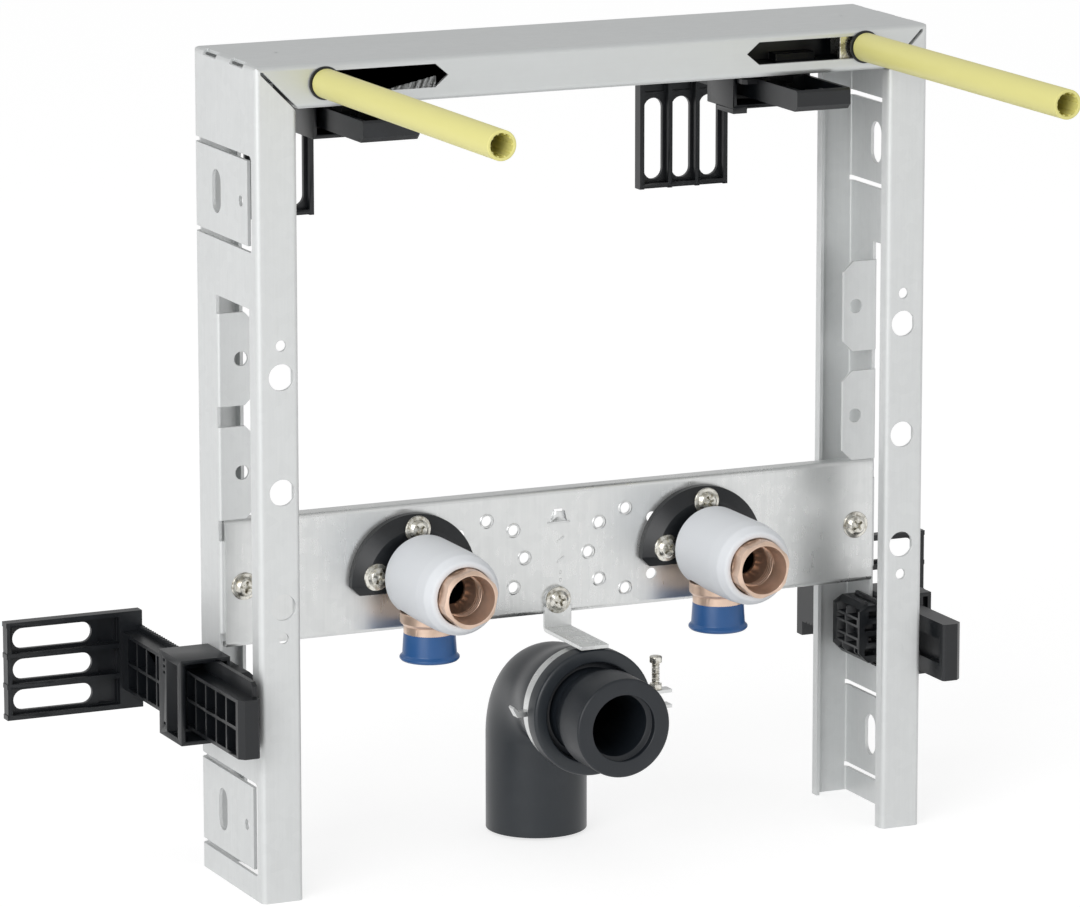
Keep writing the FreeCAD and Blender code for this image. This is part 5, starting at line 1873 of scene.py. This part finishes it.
    def flange(self) -> bpy.types.Mesh:
        """The thin flange along the arm, high in front of the holder and low behind it.

        Returns:
            The mesh.
        """
        start = self.front + 4 * MM if self.place == "lower_left" else self.holder_front - 8 * MM
        step, pitch = self.flange_step, self.tooth_pitch
        root, high, low = MM - self.half, -self.flange_high, -self.flange_low
        tip = low + self.tooth_depth
        outline = [(start, root), (start, high + 2 * MM), (start + 2 * MM, high)]
        outline += [(step, high), (step, low)]
        spot = step + pitch
        while spot < self.plate - pitch:
            for share, level in ((0.0, low), (0.2, tip), (0.5, tip), (0.7, low)):
                outline.append((spot + pitch * share, level))
            spot += pitch
        outline += [(self.plate + MM, low), (self.plate + MM, root)]
        sides = (self.near, self.near + self.flange_sheet)
        return lofted([[Vector((x, y, z)) for y, z in outline] for x in sides])

    def hollows(self, rows: Sequence[float]) -> list[bpy.types.Mesh]:
        """Cutters for the cells, the plate's fields and slots and the channel.

        Args:
            rows: Middle of the plate's four ribs.

        Returns:
            The cutters.
        """
        far, half, wall, plate, rear = self.far, self.half, self.wall, self.plate, self.rear
        rib, end = self.rim / 2, self.plate_end - self.rim
        slot_low = self.plate_end - self.slot_end - self.slot_length
        fields, deeps, slots = [], [], []
        for low, high in zip(rows, rows[1:]):
            middle = (low + high) / 2
            fields.append((
                (far + wall, plate - MM, low + rib),
                (end, rear - self.plate_floor, high - rib),
            ))
            deeps.append((
                (far + wall + MM, plate - MM, low + rib + 0.8 * MM),
                (slot_low - 3 * MM, rear - self.deep_floor, high - rib - 0.8 * MM),
            ))
            slots.append(self.slot(slot_low, middle))
        cells = []
        start = self.front + self.cell_start
        count = int((plate - start) / self.cell_pitch)
        first = self.upper_first_cell if self.upper else 0
        for number in range(first, count):
            depth = start + number * self.cell_pitch
            for low, high in ((-half + wall, -wall / 2), (wall / 2, half - wall)):
                cells.append((
                    (far - self.cell_depth, depth, low),
                    (far + MM, depth + self.cell_pitch - wall, high),
                ))
        near = self.near
        channel = block(
            (near - MM, self.front + 4.4 * MM, -self.channel_half),
            (near + self.channel_depth, plate - self.cell_pitch, self.channel_half),
        )
        cutters = [self.pits(fields), self.pits(deeps), joined(slots), self.pits(cells), channel]
        if self.upper:
            low = self.front + self.hollow_wall
            deep, end, edge = near + self.hollow_depth, self.hollow_end, half - self.hollow_wall
            web = self.hollow_web / 2
            cutters.append(self.pits([
                ((near - MM, low, web), (deep, end, edge)),
                ((near - MM, low, -edge), (deep, end, -web)),
            ]))
            cutters.append(block(
                (near - MM, low + 3 * MM, -2 * MM), (near + 4 * MM, end - 6 * MM, 2 * MM)
            ))
        return cutters

    def slot(self, start: float, middle: float) -> bpy.types.Mesh:
        """Cutter for one slot of the plate.

        Args:
            start: Where it begins.
            middle: Its middle across the plate.

        Returns:
            The cutter.
        """
        radius = self.slot_width / 2
        points = []
        for centre, first in ((start + self.slot_length - radius, -90), (start + radius, 90)):
            for step in range(self.slot_facets + 1):
                angle = math.radians(first + 180 * step / self.slot_facets)
                points.append((centre + radius * math.cos(angle), middle + radius * math.sin(angle)))
        depths = (self.plate - 2 * MM, self.rear + 2 * MM)
        return lofted([[Vector((x, depth, z)) for x, z in points] for depth in depths])

    def holder(self) -> bpy.types.Mesh:
        """The holder: a shell round the arm, a neck and a clip inside the sheet.

        Returns:
            The mesh.
        """
        depth = self.trimmed_depth if self.upper else self.holder_depth
        front, rear, wall = self.holder_front, self.holder_rear, self.holder_wall
        low, high = -self.rack_side, self.plain_side
        shell = block((0.3 * MM, front, low), (depth, rear, high))
        if self.upper:
            nub = block(
                (depth - MM, front, low),
                (depth + self.nub_reach, front + self.nub_depth, low + self.nub_height),
            )
            shell = carved(shell, [nub], Meeting.ADDED)
        gap = self.fit_gap
        arm = block(
            (self.near - gap, front - MM, -self.half - gap), (self.far + gap, rear + MM, self.half + gap)
        )
        flange = block(
            (self.near - gap, front - 2 * MM, -self.flange_high - gap),
            (self.near + self.flange_sheet + gap, rear + 2 * MM, -self.half),
        )
        mouth = block(
            (wall, front - 3 * MM, low + wall), (depth - wall, front + self.mouth_depth, high - wall)
        )
        cutters = [arm, flange, mouth]
        if not self.upper:
            cutters.append(block(
                (depth - self.window_depth, front + self.window_front, low + self.window_low),
                (depth + MM, rear - self.window_rear, high - self.window_high),
            ))
            nick, start = depth - self.nick_depth, rear - self.nick_rear
            spots = [*(low + rise for rise in self.nick_rises), high - self.nick_drop]
            cutters.append(self.pits([
                ((nick, start, spot), (depth + MM, start + self.nick_length, spot + self.nick_width))
                for spot in spots
            ]))
        shell = carved(shell, cutters)
        return self.set_in(joined([bevelled(shell, self.edge, 2, 40), self.clip()]))

    def clip(self) -> bpy.types.Mesh:
        """The clip inside the sheet: a body broken up by ribs, pockets and a sloped corner.

        Returns:
            The mesh.
        """
        front, rear = self.holder_front, self.holder_rear
        reach, half, slope = self.clip_reach, self.clip_half, self.clip_slope
        gap, rib = self.fit_gap, self.clip_rib
        section = [
            (gap, -half), (gap, half), (-reach + slope, half), (-reach, half - slope * 0.6),
            (-reach, slope - half), (-reach + slope, -half),
        ]
        body = lofted([[Vector((x, y, z)) for x, z in section] for y in (front, rear)])
        gaps = []
        spot = -half + self.clip_margin
        for row, (tall, deep) in enumerate(self.clip_rows):
            start = front + 1.8 * MM + rib * (row % 2)
            while start < rear - 4 * MM:
                width = (2.8 + 3.0 * ((2 * row + 3 * len(gaps)) % 4)) * MM
                end = min(start + width, rear - self.clip_rear)
                gaps.append(((-reach - MM, start, spot), (-reach + deep * MM, end, spot + tall * MM)))
                start = end + rib
            spot += (tall + 1.2) * MM
        slots = []
        for row, low in enumerate(self.clip_slots):
            across = -reach + (3.0 + 2.0 * (row % 2)) * MM
            slots.append((
                (across, front - MM, low * MM),
                (across + 7 * MM, front + 5 * MM, (low + 3.6) * MM),
            ))
        lips = self.pits([
            ((-3.6 * MM, front + 2 * MM, half - 0.6 * MM), (-2.2 * MM, rear - 3 * MM, half + 1.8 * MM)),
            ((-9.6 * MM, front + 4 * MM, half - 0.6 * MM), (-8.2 * MM, rear - 9 * MM, half + 1.1 * MM)),
        ])
        body = carved(body, [lips], Meeting.ADDED)
        body = carved(body, [self.pits(gaps), self.pits(slots)])
        return bevelled(body, 0.25 * MM, 1, 40)


@dataclass
class Studio:
    """Pale floor, soft light and the camera at the photograph's angle."""

    eye: Vector = Vector((-1269.2, -2702.85, 834.6)) * MM
    yaw: float = 24.406
    pitch: float = -11.847
    roll: float = 0.04
    lens: float = 214.63
    floor_reach: float = 20.0
    floor_bounce: float = 0.80
    floor_seen: float = 0.42
    floor_lift: float = 0.72
    sky: float = 0.62
    lamp_aim: Vector = Vector((0, 0, 0.2))
    key_place: Vector = Vector((-2.4, -1.9, 1.25))
    key_size: float = 2.0
    key_power: float = 52.0
    fill_place: Vector = Vector((1.9, -2.8, 1.5))
    fill_size: float = 2.2
    fill_power: float = 5.0

    def build(self) -> None:
        """Place the camera, the floor, the lamps and the world."""
        self.camera()
        self.floor()
        self.lamp("key_light", self.key_place, self.key_size, self.key_power)
        self.lamp("fill_light", self.fill_place, self.fill_size, self.fill_power)
        self.world()

    def camera(self) -> None:
        """The photograph's view."""
        data = bpy.data.cameras.new("view")
        data.sensor_width = 36.0
        data.sensor_fit = "HORIZONTAL"
        data.lens = self.lens
        data.clip_end = 60.0
        view = in_scene("view", data)
        view.location = self.eye
        view.rotation_euler = (
            math.radians(90 + self.pitch),
            math.radians(self.roll),
            -math.radians(self.yaw),
        )
        bpy.context.scene.camera = view

    def seen(self, graph: Graph) -> Wire:
        """Tell rays that are seen from light that bounces.

        Args:
            graph: The material's nodes.

        Returns:
            1 for rays from the camera and in reflections, else 0.
        """
        rays = graph.node("ShaderNodeLightPath")
        direct = rays.of("Is Camera Ray") + rays.of("Is Glossy Ray")
        return (direct + rays.of("Is Transmission Ray")).clamped()

    def floor(self) -> None:
        """A plain pale floor that keeps the frame's shadow."""
        reach = self.floor_reach
        mesh = bpy.data.meshes.new("floor")
        corners = [(-reach, -reach, 0), (reach, -reach, 0), (reach, reach, 0), (-reach, reach, 0)]
        mesh.from_pydata(corners, [], [(0, 1, 2, 3)])
        floor = in_scene("floor", mesh)
        material = bpy.data.materials.new("pale_floor")
        graph = emptied(material)
        seen = self.seen(graph)
        tone = graph.blended(seen, (self.floor_bounce,) * 3, (self.floor_seen,) * 3)
        paint = graph.node("ShaderNodeBsdfDiffuse", None, {"Color": tone})
        lift = graph.node("ShaderNodeEmission", None, {"Strength": seen * self.floor_lift})
        both = graph.node("ShaderNodeAddShader", None, {0: paint, 1: lift})
        graph.node("ShaderNodeOutputMaterial", None, {"Surface": both})
        mesh.materials.append(material)
        floor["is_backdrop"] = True

    def lamp(self, name: str, place: Vector, size: float, power: float) -> None:
        """A soft square lamp that faces the frame.

        Args:
            name: Its name.
            place: Where it stands.
            size: Width of the square.
            power: Power in watts.
        """
        data = bpy.data.lights.new(name, "AREA")
        data.size = size
        data.energy = power
        lamp = in_scene(name, data)
        lamp.location = place
        lamp.rotation_euler = (self.lamp_aim - place).to_track_quat("-Z", "Y").to_euler()

    def world(self) -> None:
        """Even pale surroundings."""
        world = bpy.data.worlds.new("studio")
        graph = emptied(world)
        sky = graph.node("ShaderNodeBackground", None, {"Color": (1, 1, 1, 1), "Strength": self.sky})
        graph.node("ShaderNodeOutputWorld", None, {"Surface": sky})
        bpy.context.scene.world = world
        bpy.context.scene.view_settings.view_transform = "Standard"


def write_sizes() -> None:
    """Set the CAD box and the dressed box side by side as plain lists."""
    boxes = {"cad": CAD_BOX, "visual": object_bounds()}
    plain = {name: [list(corner) for corner in box] for name, box in boxes.items()}


def main() -> None:
    """Build every sub-assembly in order and report its pieces."""
    logging.basicConfig(level=logging.INFO, format="%(message)s", stream=sys.stdout)
    assemblies = [Portal(), Crossbar(), Screws(), Waste()]
    assemblies += [TapConnection(word) for _, word in SIDES]
    assemblies += [BasinStud(word) for _, word in SIDES]
    assemblies += [Anchor(place) for place in PLACES]
    for assembly in assemblies:
        for made in assembly.build():
            LOG.info("%s: %s, %d faces", type(assembly).__name__, made.name, len(made.data.polygons))
    Studio().build()
    write_sizes()


if __name__ == "__main__":
    main()
